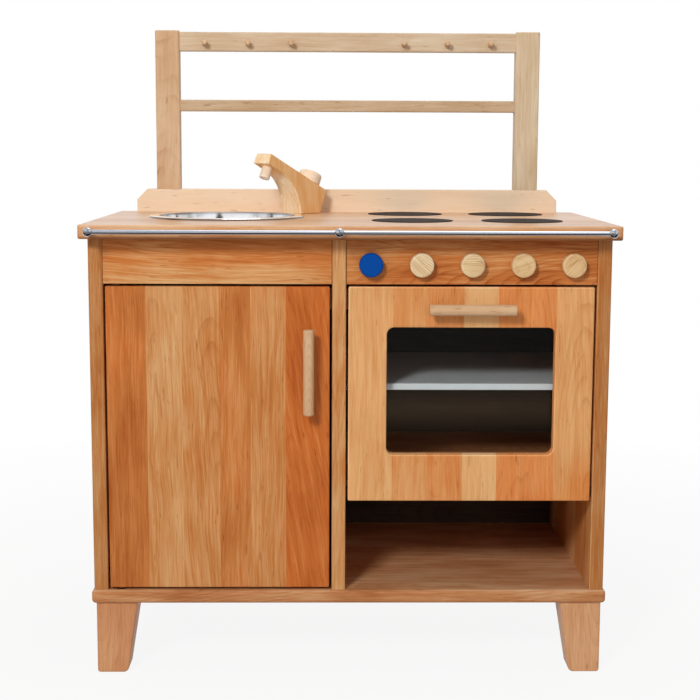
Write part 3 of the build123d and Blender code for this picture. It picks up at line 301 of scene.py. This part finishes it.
def dress_wood(name, axes, seed, staves=0.042, light=1.0, figure=1.0, ring=0.0045, colours=None, gloss=0.45,
               shine=0.15, joints="CONSTANT", ends=None, wear_and_highlight=0.12, blotch=0.0, shades=()):
    """Oiled wood for one board. Axes say how it lies. Staves is their width in metres, or a list of each
    one's start in millimetres, tone, ring contrast, slope of grain and redness, with hard joints or "LINEAR".
    Ends are where the board stops along the grain, with a fine line of painted shade at each.
    Each of the shades reads "Object" (place) or "Normal" along an axis, and has its start, where it is full, and
    the colour it multiplies by, which stains the wood or paints light and shade on it."""
    finish, tree, shader = new_finish(name)
    grain = turned(tree, axes)
    if isinstance(staves, float):
        glued = fill(tree, STAVES, {"Vector": grain, "Stave Width": staves, "Seed": float(seed)}).outputs
        tone, ringed, slope, stave, joint = list(glued)
        ruddy = 0.0
    else:
        across = parts(tree, grain)["X"]
        first, last = staves[0][0] / 1000, staves[-1][0] / 1000 + LAST_STAVE
        stops = [((start / 1000 - first) / (last - first), (tone, ringed, slope + 0.5, redness))
                 for start, tone, ringed, slope, redness in staves]
        chosen, ruddy = ramp(tree, rescale(tree, across, first, last), stops, joints)
        tone, ringed, slope = put(tree, "ShaderNodeSeparateColor", {"Color": chosen}).outputs
        slope = calc(tree, "SUBTRACT", slope, 0.5)
        own_figure = 91.7 if joints == "CONSTANT" else 0.0  # tells hard-jointed staves apart by their tone
        stave = calc(tree, "MULTIPLY_ADD", tone, own_figure, float(seed))
        joint = None
    inputs = {"Vector": grain, "Seed": stave, "Tone": tone, "Ringed": ringed, "Slope": slope, "Ruddy": ruddy,
              "Figure": figure, "Blotch": blotch, "Ring Width": ring, "Light": light, "Gloss": gloss}
    for key, colour in zip(("Deep", "Warm", "Pale"), colours or ()):
        inputs[key] = colour
    oiled = fill(tree, OILED, inputs).outputs
    # rounded edges painted lighter: partly handling wear, partly a painted highlight, strongest on the oven door
    # and knobs
    wear_and_highlight_share = calc(tree, "MULTIPLY", fill(tree, EDGES, {"Reach": EDGE_WEAR_AND_HIGHLIGHT_REACH}).outputs[0], wear_and_highlight)
    colour = mix_colour(tree, wear_and_highlight_share, oiled["Color"], EDGE_WEAR_AND_HIGHLIGHT)
    if joint:
        colour = mix_colour(tree, calc(tree, "MULTIPLY", joint, 0.35), colour, GLUE)
    # a fine line of painted shade where the board ends and meets the next part
    if ends:
        along = parts(tree, grain)["Z"]
        left, right = calc(tree, "SUBTRACT", along, ends[0]), calc(tree, "SUBTRACT", ends[1], along)
        gap_shade = calc(tree, "LESS_THAN", calc(tree, "MINIMUM", left, right), GAP_WIDTH)
        colour = mix_colour(tree, calc(tree, "MULTIPLY", gap_shade, 0.75), colour, GAP_SHADE)
    # each shade multiplies the colour: some are stains of the wood, some are painted light and shade
    for source, axis, start, full, tint in shades:
        far = reach(tree, where(tree, source), axis)
        colour = tinted(tree, rescale(tree, far, start, full), colour, tint)
    tree.links.new(colour, shader.inputs["Base Color"])
    tree.links.new(oiled["Roughness"], shader.inputs["Roughness"])
    bump = put(tree, "ShaderNodeBump", {"Height": oiled["Height"], "Strength": 0.12, "Distance": 0.0004})
    tree.links.new(bump.outputs[0], shader.inputs["Normal"])
    shader.inputs["Specular IOR Level"].default_value = shine
    return finish


def coat(finish, *names):
    """Give CAD nodes this finish."""
    for name in names:
        NODES[name].data.materials.clear()
        NODES[name].data.materials.append(finish)


def all_over(tint):
    """Shade that covers the whole of any piece that is 0.1 m or more above the floor."""
    return ("Object", Z, 0.0, 0.1, tint)


# ---------------------------------------------------------------- boards, rods and knobs
# how a board lies: the axes across, into and along its grain
UPRIGHT = (X, Y, Z)
SIDEWAYS = (Y, X, Z)
LYING = (Y, Z, X)
ACROSS = (Z, Y, X)

# deep, warm and pale tones
BOTTOM = (paint(160, 96, 54), paint(190, 130, 84), paint(208, 166, 124))
# the worktop's tones are painted paler than the wood: painted light on its brightly lit top
WORKTOP = (paint(186, 130, 88), paint(208, 160, 120), paint(224, 190, 156))
# pale tones: the tap fittings' own pale birch; on the splashback they are painted light, its front painted paler
# as if brightly lit
PALE_WOOD_AND_PAINTED_LIGHT = (paint(224, 190, 154), paint(236, 210, 180), paint(244, 224, 200))
FRAME_WOOD = (paint(186, 146, 106), paint(206, 172, 136), paint(222, 196, 164))
LEG_WOOD = (paint(176, 112, 74), paint(196, 140, 98), paint(212, 166, 124))
TAP_WOOD = (paint(210, 140, 78), paint(230, 171, 109), paint(242, 202, 150))
BEECH = (paint(176, 132, 94), paint(202, 164, 126), paint(222, 192, 158))
BIRCH = (paint(190, 142, 90), paint(218, 182, 134), paint(236, 212, 170))
# very dark tones, given to the back panel
DARK_BACK = (paint(34, 25, 17), paint(50, 37, 26), paint(70, 54, 40))

# start in millimetres, tone, ring contrast, slope of grain and redness of each stave
CUPBOARD_STAVES = [(-320, 0.36, 0.12, 0.0, 0.2), (-264, 0.78, 0.5, 0.02, 0.0), (-218, 0.66, 0.45, 0.06, 0.05),
                   (-170, 0.46, 0.15, -0.02, 0.15), (-129, 0.6, 0.2, 0.0, 0.0), (-84, 0.42, 0.35, 0.16, 0.8)]
OVEN_STAVES = [(-20, 0.8, 0.15, 0.0, 0.0), (54, 0.7, 0.2, 0.0, 0.1), (100, 0.62, 0.4, 0.02, 0.3),
               (146, 0.92, 0.1, 0.0, 0.0), (191, 0.64, 0.5, 0.02, 0.6), (233, 0.68, 0.5, 0.0, 0.6),
               (266, 0.78, 0.6, 0.03, 0.05)]
SINK_FASCIA = [(518, 0.8, 0.2, 0.03, 0.0), (537, 0.66, 0.4, 0.03, 0.1), (546, 0.5, 0.7, 0.03, 0.3),
               (560, 0.44, 0.5, 0.03, 0.3), (578, 0.4, 0.4, 0.03, 0.3)]
KNOB_FASCIA = [(518, 0.46, 0.8, -0.02, 0.4), (536, 0.4, 0.8, -0.02, 0.2), (556, 0.5, 1.0, -0.02, 0.2),
               (578, 0.3, 0.8, -0.02, 0.4)]
PLAIN_BOARD = [(560, 0.5, 0.12, 0.0, 0.0), (640, 0.5, 0.12, 0.0, 0.0)]
KNOB_BLANK = [(-400, 0.5, 1.0, 0.0, 0.0), (350, 0.5, 1.0, 0.0, 0.0)]

coat(dress_wood("alder cupboard door", UPRIGHT, 3, CUPBOARD_STAVES, blotch=0.5), "cupboard_door")
# darker low on the right, a tone of the wood; paler on the window's rim where it faces up or left, a painted
# highlight
stave_tone_and_rim_highlight = [("Object", (0.7, 0, -0.7), -0.01, 0.03, (0.98, 0.78, 0.58)),
              ("Normal", (-0.7, 0, 0.7), 0.12, 0.4, (1.3, 1.5, 1.8))]
coat(dress_wood("alder oven door", UPRIGHT, 8, OVEN_STAVES, light=1.15, figure=0.7, wear_and_highlight=0.4, blotch=0.3,
                shades=stave_tone_and_rim_highlight), "oven_door")
FASCIAS = (("sink_fascia", 12, SINK_FASCIA, 1.05, 1.2), ("knob_fascia", 15, KNOB_FASCIA, 1.0, 1.4))
for node, seed, rows, light, figure in FASCIAS:
    low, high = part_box(node)
    coat(dress_wood("alder " + node.replace("_", " "), ACROSS, seed, rows, light, figure, joints="LINEAR",
                    ends=(low[0], high[0])), node)
# the sides' inner faces are painted paler: painted light inside the compartments
for side, way in (("left", -X), ("right", X)):
    low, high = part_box(side + "_side_panel")
    inner = min(abs(low[0]), abs(high[0]))
    painted_inner_light = [("Object", way, inner + 0.001, inner + 0.0003, (1.6, 1.9, 2.3))]
    coat(dress_wood(f"alder {side} side", SIDEWAYS, 5, light=0.84, blotch=0.3, shades=painted_inner_light),
         side + "_side_panel")
coat(dress_wood("alder divider", SIDEWAYS, 6, 0.2), "divider_panel")
# faces that look up are painted paler: painted light where it falls on them
coat(dress_wood("alder bottom board", LYING, 11, 0.3, figure=1.3, colours=BOTTOM,
                shades=[("Normal", Z, 0.5, 0.9, (1.06, 1.2, 1.4))]), "bottom_board")
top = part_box("worktop")[1][2]
# painted shade on the front edge, darker and more orange than the lit top; deeper painted shade on the rounded
# lower strip under the rail; and a more orange tone of the wood at the front right corner
edge_shade_and_corner_tone = [("Object", Z, top - 0.001, top - 0.005, (0.95, 0.8, 0.62)),
           ("Object", Z, top - 0.0115, top - 0.017, (0.55, 0.4, 0.3)),
           ("Object", (0.7, -0.7, 0), 0.12, 0.36, (0.93, 0.86, 0.76))]
coat(dress_wood("alder worktop", LYING, 21, 0.07, colours=WORKTOP, gloss=0.3, shine=0.35, shades=edge_shade_and_corner_tone),
     "worktop")
# the splashback is painted pale: painted light on its brightly lit front
coat(dress_wood("alder splashback", ACROSS, 22, PLAIN_BOARD, colours=PALE_WOOD_AND_PAINTED_LIGHT, figure=0.45), "splashback")
for post, seed, tint in (("left_post", 25, (0.94, 0.87, 0.82)), ("right_post", 26, (1.1, 1.3, 1.5))):
    coat(dress_wood("alder " + post.replace("_", " "), UPRIGHT, seed, 0.1, colours=FRAME_WOOD,
                    shades=[all_over(tint)]), post)
coat(dress_wood("alder frame rails", ACROSS, 27, 0.1, colours=FRAME_WOOD,
                shades=[all_over((0.98, 1.08, 1.2))]), "top_rail", "middle_rail")
coat(dress_wood("alder legs", UPRIGHT, 31, 0.2, light=1.08, colours=LEG_WOOD),
     "front_left_leg", "front_right_leg", "rear_left_leg", "rear_right_leg")
coat(dress_wood("alder oven floor", LYING, 35, 0.05, light=1.25, colours=BOTTOM),
     "oven_floor", "floor_cleats", "catch_blocks")
TAP_AHEAD = (-0.656, -0.755, 0)  # the way the tap points
# faces that point ahead are painted paler: a painted highlight where the lamp falls on them
coat(dress_wood("alder tap", UPRIGHT, 37, 0.2, colours=TAP_WOOD,
                shades=[("Normal", TAP_AHEAD, 0.45, 0.7, (1.08, 1.4, 2.0))]), "tap_body", "tap_pivot")
coat(dress_wood("beech cupboard handle", UPRIGHT, 41, 0.2, colours=BEECH, ring=0.0025, figure=0.6),
     "cupboard_handle", "oven_handle_posts")
coat(dress_wood("beech oven handle", ACROSS, 43, 0.2, colours=BEECH, ring=0.0025, figure=0.6),
     "oven_handle", "cupboard_handle_posts", "wood_dowels", "utensil_pegs")
# number, lean of the grain in radians, and stain
KNOBS = ((2, 0.8, (1.02, 1.16, 1.36)), (3, 1.5, (0.98, 1.07, 1.17)),
         (4, -1.2, (0.96, 0.98, 0.99)), (5, -0.75, (0.95, 0.93, 0.9)))
for number, lean, tint in KNOBS:
    diagonal = (Vector((cos(lean), 0, sin(lean))), Y, Vector((-sin(lean), 0, cos(lean))))
    # the rounded rim, turned away from the front, is painted lighter: a painted highlight; each knob's own stain
    # lies over all
    shades = [("Normal", -Y, 0.99, 0.88, (1.14, 1.18, 1.25)), all_over(tint)]
    birch = dress_wood(f"birch knob {number}", diagonal, 40 + number, KNOB_BLANK, colours=BIRCH, ring=0.0023,
                       wear_and_highlight=0.3, shades=shades)
    coat(birch, f"knob_{number}", f"knob_{number}_spindle")
coat(dress_wood("birch tap fittings", UPRIGHT, 55, 0.3, colours=PALE_WOOD_AND_PAINTED_LIGHT, ring=0.003, figure=0.6),
     "tap_knob", "tap_outlet", "tap_knob_spindle", "knob_1_spindle")
coat(dress_wood("dark back panel", ACROSS, 58, 1.0, colours=DARK_BACK), "back_panel")


# ---------------------------------------------------------------- lacquer, board, metal and clear plastic
def hard_finish(name, colour, gloss, metallic=0.0, relief=0.02, shine=0.5):
    """Smooth surface of one colour, slightly uneven, with handling marks."""
    finish, tree, shader = new_finish(name)
    place = where(tree)
    marks = fill(tree, HANDLING, {"Vector": place, "Gloss": gloss, "Spread": 0.08}).outputs
    cloud = noise(tree, place, 24.0, 3.0).outputs[0]
    shades = [(0.25, 0.96), (0.75, 1.04)]  # places on the ramp, and how light the colour is there
    stops = [(spot, tuple(min(1.0, part * light) for part in colour[:3]) + (1.0,)) for spot, light in shades]
    tree.links.new(ramp(tree, cloud, stops)[0], shader.inputs["Base Color"])
    tree.links.new(marks["Roughness"], shader.inputs["Roughness"])
    bump = put(tree, "ShaderNodeBump", {"Height": marks["Height"], "Strength": relief, "Distance": 0.0003})
    tree.links.new(bump.outputs[0], shader.inputs["Normal"])
    shader.inputs["Metallic"].default_value = metallic
    shader.inputs["Specular IOR Level"].default_value = shine
    return finish


coat(hard_finish("blue lacquer", paint(2, 68, 148), 0.42, shine=0.1), "knob_1")
coat(hard_finish("white laminate", paint(248, 249, 251), 0.35), "oven_shelf")
coat(hard_finish("black enamel", paint(44, 36, 33), 0.7, relief=0.05, shine=0.1), "hob_discs")
steel = hard_finish("bright steel", paint(192, 195, 202), 0.14, metallic=1.0, relief=0.004)
coat(steel, "towel_rail", "rail_spacers", "shelf_pins", "cupboard_pivot_pins", "oven_pivot_pins")
zinc = hard_finish("zinc plate", paint(168, 170, 172), 0.35, metallic=1.0)
coat(zinc, "cupboard_strike", "oven_strike", "catch_magnets")
coat(hard_finish("brown nylon", paint(62, 34, 20), 0.6, shine=0.1), "pivot_bushes")


RIM_BAND = 0.018  # metres of the bowl's radius, from the rim inwards, that its painted shade lines are placed in
SPUN_RINGS = 7000.0  # radians to the metre


def bowl_finish():
    """Polished steel with fine spun rings, with painted shade round the outside and the mouth of the rim."""
    finish, tree, shader = new_finish("polished bowl steel")
    low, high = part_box("sink_bowl")
    rim = (high[0] - low[0]) / 2
    centre = Vector(((low[0] + high[0]) / 2, (low[1] + high[1]) / 2, 0))
    place = where(tree)
    flat = bend(tree, "MULTIPLY", bend(tree, "SUBTRACT", place, centre), (1, 1, 0))
    out = put(tree, "ShaderNodeVectorMath", {0: flat}, operation="LENGTH").outputs["Value"]
    bright, painted_rim_shade = paint(250, 251, 252), paint(138, 124, 114)
    at_rim = rescale(tree, parts(tree, place)["Z"], high[2] - 0.0035, high[2] - 0.002)
    share = rescale(tree, out, rim - RIM_BAND, rim)
    bare, dark = (0, 0, 0, 1), (1, 1, 1, 1)
    painted_shade_lines = [(0.0, bare), (0.2, bare), (0.24, dark), (0.3, dark), (0.34, bare), (1.0, bare)]
    mouth_shade = calc(tree, "MULTIPLY", ramp(tree, share, painted_shade_lines)[0], at_rim)  # painted shade on the line where the rim turns down
    outer_shade = calc(tree, "GREATER_THAN", share, 0.96)
    shaded = mix_colour(tree, calc(tree, "MAXIMUM", mouth_shade, outer_shade), bright, painted_rim_shade)
    tree.links.new(shaded, shader.inputs["Base Color"])
    marks = fill(tree, HANDLING, {"Vector": place, "Gloss": 0.09, "Spread": 0.05}).outputs
    tree.links.new(marks["Roughness"], shader.inputs["Roughness"])
    spun = calc(tree, "SINE", calc(tree, "MULTIPLY", out, SPUN_RINGS))
    bump = put(tree, "ShaderNodeBump", {"Height": spun, "Strength": 0.04, "Distance": 0.0002})
    tree.links.new(bump.outputs[0], shader.inputs["Normal"])
    shader.inputs["Metallic"].default_value = 1.0
    return finish


coat(bowl_finish(), "sink_bowl")


def clear_finish():
    """Clear acrylic pane that lets lamps through."""
    finish, tree, shader = new_finish("clear acrylic")
    shader.inputs["Base Color"].default_value = paint(228, 232, 232)
    shader.inputs["Transmission Weight"].default_value = 1.0
    shader.inputs["IOR"].default_value = 1.3
    marks = fill(tree, HANDLING, {"Vector": where(tree), "Gloss": 0.03, "Spread": 0.04}).outputs
    tree.links.new(marks["Roughness"], shader.inputs["Roughness"])
    open_way = put(tree, "ShaderNodeBsdfTransparent", {"Color": paint(236, 238, 238)})
    rays = put(tree, "ShaderNodeLightPath").outputs
    passing = calc(tree, "MAXIMUM", rays["Is Shadow Ray"], rays["Is Diffuse Ray"])
    both = put(tree, "ShaderNodeMixShader", {0: passing, 1: shader.outputs[0], 2: open_way.outputs[0]})
    tree.links.new(both.outputs[0], tree.nodes["Material Output"].inputs["Surface"])
    return finish


coat(clear_finish(), "oven_window")


# ---------------------------------------------------------------- cross-slot screws
def screw_tree():
    """Geometry node tree: a round-head screw with a cross slot at each point, its head towards "facing"."""
    tree = bpy.data.node_groups.new("cross-slot screws", "GeometryNodeTree")
    tree.interface.new_socket("Geometry", in_out="INPUT", socket_type="NodeSocketGeometry")
    for title in ("Head Radius", "Dome", "Slot Width", "Slot Depth", "Shank Radius", "Shank Length"):
        tree.interface.new_socket(title, in_out="INPUT", socket_type="NodeSocketFloat")
    tree.interface.new_socket("Finish", in_out="INPUT", socket_type="NodeSocketMaterial")
    tree.interface.new_socket("Geometry", in_out="OUTPUT", socket_type="NodeSocketGeometry")
    given, result = tree.nodes.new("NodeGroupInput").outputs, tree.nodes.new("NodeGroupOutput")

    def corner(x, y, z):
        return put(tree, "ShaderNodeCombineXYZ", {0: x, 1: y, 2: z}).outputs[0]

    def cube(size, middle):
        shape = put(tree, "GeometryNodeMeshCube", {"Size": size}).outputs["Mesh"]
        return put(tree, "GeometryNodeTransform", {"Geometry": shape, "Translation": middle}).outputs[0]

    head_r, dome, depth = given["Head Radius"], given["Dome"], given["Slot Depth"]
    long, twice = calc(tree, "MULTIPLY", head_r, 1.25), calc(tree, "MULTIPLY", depth, 2.0)
    ball = put(tree, "GeometryNodeMeshUVSphere", {"Segments": 32, "Rings": 24, "Radius": 1.0}).outputs["Mesh"]
    head = put(tree, "GeometryNodeTransform", {"Geometry": ball, "Scale": corner(head_r, head_r, dome)}).outputs[0]
    wide = calc(tree, "MULTIPLY", head_r, 4.0)
    below = cube(corner(wide, wide, dome), corner(0.0, 0.0, calc(tree, "MULTIPLY", dome, -0.5)))
    at_top = corner(0.0, 0.0, dome)
    slots = [cube(corner(long, given["Slot Width"], twice), at_top),
             cube(corner(given["Slot Width"], long, twice), at_top)]
    cut = put(tree, "GeometryNodeMeshBoolean", {0: head}, operation="DIFFERENCE", solver="EXACT")
    for tool in [below] + slots:
        tree.links.new(tool, cut.inputs[1])
    shank = put(tree, "GeometryNodeMeshCylinder", {"Vertices": 16, "Radius": given["Shank Radius"],
                                                   "Depth": given["Shank Length"]}).outputs["Mesh"]
    sunk = corner(0.0, 0.0, calc(tree, "MULTIPLY", given["Shank Length"], -0.5))
    shank = put(tree, "GeometryNodeTransform", {"Geometry": shank, "Translation": sunk}).outputs[0]
    screw = put(tree, "GeometryNodeJoinGeometry")
    for piece in (shank, cut.outputs[0]):
        tree.links.new(piece, screw.inputs[0])
    facing = put(tree, "GeometryNodeInputNamedAttribute", {"Name": "facing"}, data_type="FLOAT_VECTOR").outputs[0]
    upright = put(tree, "FunctionNodeAlignRotationToVector", {"Vector": facing}, axis="Z").outputs[0]
    driven = put(tree, "FunctionNodeRandomValue", {2: 0.0, 3: pi / 2, "Seed": 4}, data_type="FLOAT").outputs[1]
    twist = put(tree, "FunctionNodeAxisAngleToRotation", {"Axis": (0.0, 0.0, 1.0), "Angle": driven}).outputs[0]
    turned_in = put(tree, "FunctionNodeRotateRotation", {0: upright, 1: twist}, rotation_space="LOCAL").outputs[0]
    placed = put(tree, "GeometryNodeInstanceOnPoints", {"Points": given["Geometry"], "Instance": screw.outputs[0],
                                                        "Rotation": turned_in}).outputs[0]
    real = put(tree, "GeometryNodeRealizeInstances", {0: placed}).outputs[0]
    tree.links.new(put(tree, "GeometryNodeSetMaterial", {0: real, "Material": given["Finish"]}).outputs[0],
                   result.inputs[0])
    return tree


def drive_screws(name, places, facing, body, node, finish, slot, **sizes):
    """Screws with their seats at these places, which replace a CAD node on this body."""
    points = bpy.data.meshes.new(name)
    points.from_pydata(places, [], [])
    directions = points.attributes.new("facing", "FLOAT_VECTOR", "POINT")
    directions.data.foreach_set("vector", list(facing) * len(places))
    holder = bpy.data.objects.new(name, points)
    bpy.context.scene.collection.objects.link(holder)
    modifier = holder.modifiers.new("screws", "NODES")
    modifier.node_group = SCREWS
    values = {title.replace("_", " ").title(): value for title, value in sizes.items()} | {"Finish": finish}
    for socket in SCREWS.interface.items_tree:
        if socket.in_out == "INPUT" and socket.name in values:
            modifier[socket.identifier] = values[socket.name]
    finished = holder.evaluated_get(bpy.context.evaluated_depsgraph_get())
    mesh = bpy.data.meshes.new_from_object(finished)
    holder.modifiers.remove(modifier)
    holder.data = mesh
    mesh.shade_smooth()
    mesh.set_sharp_from_angle(angle=pi / 5)
    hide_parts(node)
    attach(holder, body)


SCREWS = screw_tree()
divider_x = (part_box("divider_panel")[0][0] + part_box("divider_panel")[1][0]) / 2

low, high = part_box("rail_screws")
radius, dome = 0.006, 0.0032
seats = [(x, low[1] + dome, (low[2] + high[2]) / 2) for x in (low[0] + radius, divider_x, high[0] - radius)]
drive_screws("rail_screw_set", seats, (0, -1, 0), "cabinet", "rail_screws", steel, "polished_steel",
             head_radius=radius, dome=dome, slot_width=0.0011, slot_depth=0.0014, shank_radius=0.0019,
             shank_length=0.03)

low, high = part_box("back_panel_screws")
radius, dome = 0.0035, 0.002
seats = [(x, high[1] - dome, low[2] + radius + step * (high[2] - low[2] - 2 * radius) / 3)
         for x in (low[0] + radius, divider_x, high[0] - radius) for step in range(4)]
drive_screws("back_panel_screw_set", seats, (0, 1, 0), "cabinet", "back_panel_screws", zinc, "steel",
             head_radius=radius, dome=dome, slot_width=0.0008, slot_depth=0.0011, shank_radius=0.0016,
             shank_length=0.02)

low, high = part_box("window_screws")
radius, dome = 0.0034, 0.0016
xs = (low[0] + radius, (low[0] + high[0]) / 2, high[0] - radius)
zs = (low[2] + radius, (low[2] + high[2]) / 2, high[2] - radius)
seats = [(x, high[1] - dome, z) for x in xs for z in zs if (x, z) != (xs[1], zs[1])]
drive_screws("window_screw_set", seats, (0, 1, 0), "oven_door", "window_screws", zinc, "steel",
             head_radius=radius, dome=dome, slot_width=0.0008, slot_depth=0.0009, shank_radius=0.0015,
             shank_length=0.008)


# ---------------------------------------------------------------- camera, floor and studio
FOCAL_LENGTH, PICTURE_WIDTH = 1460.3, 700  # pixels
FILM_WIDTH = 36.0
EYE = (-0.02916, -2.03072, 0.69516)
YAW, PITCH, ROLL = -0.01539, 0.13917, 0.00423  # radians


def aim_camera():
    """Camera in front of the kitchen, a little above its middle."""
    lens = bpy.data.cameras.new("camera")
    lens.sensor_width = FILM_WIDTH
    lens.lens = FOCAL_LENGTH * FILM_WIDTH / PICTURE_WIDTH
    camera = bpy.data.objects.new("camera", lens)
    bpy.context.scene.collection.objects.link(camera)
    turn = Matrix.Rotation(YAW, 4, Z) @ Matrix.Rotation(pi / 2 - PITCH, 4, X) @ Matrix.Rotation(ROLL, 4, Z)
    camera.matrix_world = Matrix.Translation(EYE) @ turn
    bpy.context.scene.camera = camera


def mirrored_or_seen(tree):
    """Rays that show the background itself, from the camera, off gloss or through glass; and those off gloss."""
    rays = put(tree, "ShaderNodeLightPath").outputs
    through = calc(tree, "MAXIMUM", rays["Is Glossy Ray"], rays["Is Transmission Ray"])
    return calc(tree, "MAXIMUM", rays["Is Camera Ray"], through), rays["Is Glossy Ray"]


FLOOR_HALF = 60.0
# places ahead of the kitchen and what gloss sees there: grey, a warm strip, dim, then white at its feet
FLOOR_RUNS = [(0.0, paint(110, 112, 112)), (0.2, paint(255, 214, 176)), (0.36, paint(30, 30, 34)),
              (0.84, paint(30, 30, 34)), (0.95, paint(255, 255, 255))]


def lay_floor():
    """White floor that keeps the shadow near the kitchen; gloss sees it darker in front."""
    finish, tree, shader = new_finish("pale floor")
    shader.inputs["Base Color"].default_value = paint(205, 203, 200)
    shader.inputs["Roughness"].default_value = 0.9
    shader.inputs["Specular IOR Level"].default_value = 0.1
    seen, glossy = mirrored_or_seen(tree)
    place = where(tree)
    away = put(tree, "ShaderNodeVectorMath", {0: place}, operation="LENGTH").outputs["Value"]
    bare = rescale(tree, away, 0.5, 1.6, 0.9, 1.0)
    back = rescale(tree, parts(tree, place)["Y"], -2.6, -0.1)
    shown = mix_colour(tree, glossy, paint(255, 255, 255), ramp(tree, back, FLOOR_RUNS)[0])
    glow = put(tree, "ShaderNodeEmission", {"Color": shown, "Strength": 1.0})
    share = calc(tree, "MULTIPLY", seen, calc(tree, "MAXIMUM", bare, glossy))
    both = put(tree, "ShaderNodeMixShader", {0: share, 1: shader.outputs[0], 2: glow.outputs[0]})
    tree.links.new(both.outputs[0], tree.nodes["Material Output"].inputs["Surface"])
    mesh = bpy.data.meshes.new("floor")
    corners = [(x * FLOOR_HALF, y * FLOOR_HALF, 0) for x, y in ((-1, -1), (1, -1), (1, 1), (-1, 1))]
    mesh.from_pydata(corners, [], [(0, 1, 2, 3)])
    mesh.materials.append(finish)
    floor = bpy.data.objects.new("floor", mesh)
    bpy.context.scene.collection.objects.link(floor)


# heights of the room ahead and what gloss sees there
ROOM_HEIGHTS = [(0.0, paint(228, 233, 240)), (0.08, paint(255, 255, 255)), (0.45, paint(252, 253, 255)),
                (0.7, paint(206, 213, 224))]
# directions and half-widths in radians of the dark stands that only gloss sees
STANDS = (((0.3, -0.94, 0.14), 0.1), ((0.98, -0.1, 0.12), 0.22), ((-0.98, -0.1, 0.12), 0.2))
STAND_COLOUR = paint(44, 52, 48)
AIM = Vector((0, 0, 0.45))
# name, watts, width, place, and whether gloss mirrors it
LAMPS = (
    ("key lamp", 68.0, 0.6, (-1.05, -2.8, 2.0), False),
    ("top lamp", 15.0, 1.4, (0.3, -0.2, 2.6), True),
    ("fill lamp", 10.0, 1.3, (0.75, -2.9, 0.9), False),
)


def light_room():
    """White surroundings, with a room ahead and dark stands that only gloss sees, and soft lamps."""
    world = bpy.data.worlds.new("studio")
    bpy.context.scene.world = world
    world.use_nodes = True
    tree = world.node_tree
    tree.nodes.clear()
    seen, glossy = mirrored_or_seen(tree)
    toward = where(tree, "Generated")
    way = parts(tree, toward)
    ahead = rescale(tree, way["Y"], 0.1, -0.25)
    room = ramp(tree, way["Z"], ROOM_HEIGHTS)[0]
    shown = mix_colour(tree, calc(tree, "MULTIPLY", ahead, glossy), paint(255, 255, 255), room)
    for direction, wide in STANDS:
        near = reach(tree, toward, Vector(direction).normalized())
        stand = rescale(tree, near, cos(wide * 1.5), cos(wide))
        shown = mix_colour(tree, calc(tree, "MULTIPLY", stand, glossy), shown, STAND_COLOUR)
    strength = rescale(tree, way["Y"], 0.0, 0.7, 0.22, 0.7)  # more light from behind, for the back's sake
    around = put(tree, "ShaderNodeBackground", {"Color": (1, 1, 1, 1), "Strength": strength})
    plain = put(tree, "ShaderNodeBackground", {"Color": shown, "Strength": 1.0})
    both = put(tree, "ShaderNodeMixShader", {0: seen, 1: around.outputs[0], 2: plain.outputs[0]})
    put(tree, "ShaderNodeOutputWorld", {"Surface": both.outputs[0]})
    for name, power, size, spot, mirrored in LAMPS:
        lamp = bpy.data.lights.new(name, "AREA")
        lamp.energy = power
        lamp.size = size
        holder = bpy.data.objects.new(name, lamp)
        bpy.context.scene.collection.objects.link(holder)
        holder.location = spot
        holder.visible_glossy = mirrored
        holder.rotation_euler = (AIM - Vector(spot)).to_track_quat("-Z", "Y").to_euler()


aim_camera()
lay_floor()
light_room()
bpy.context.scene.view_settings.view_transform = "Standard"
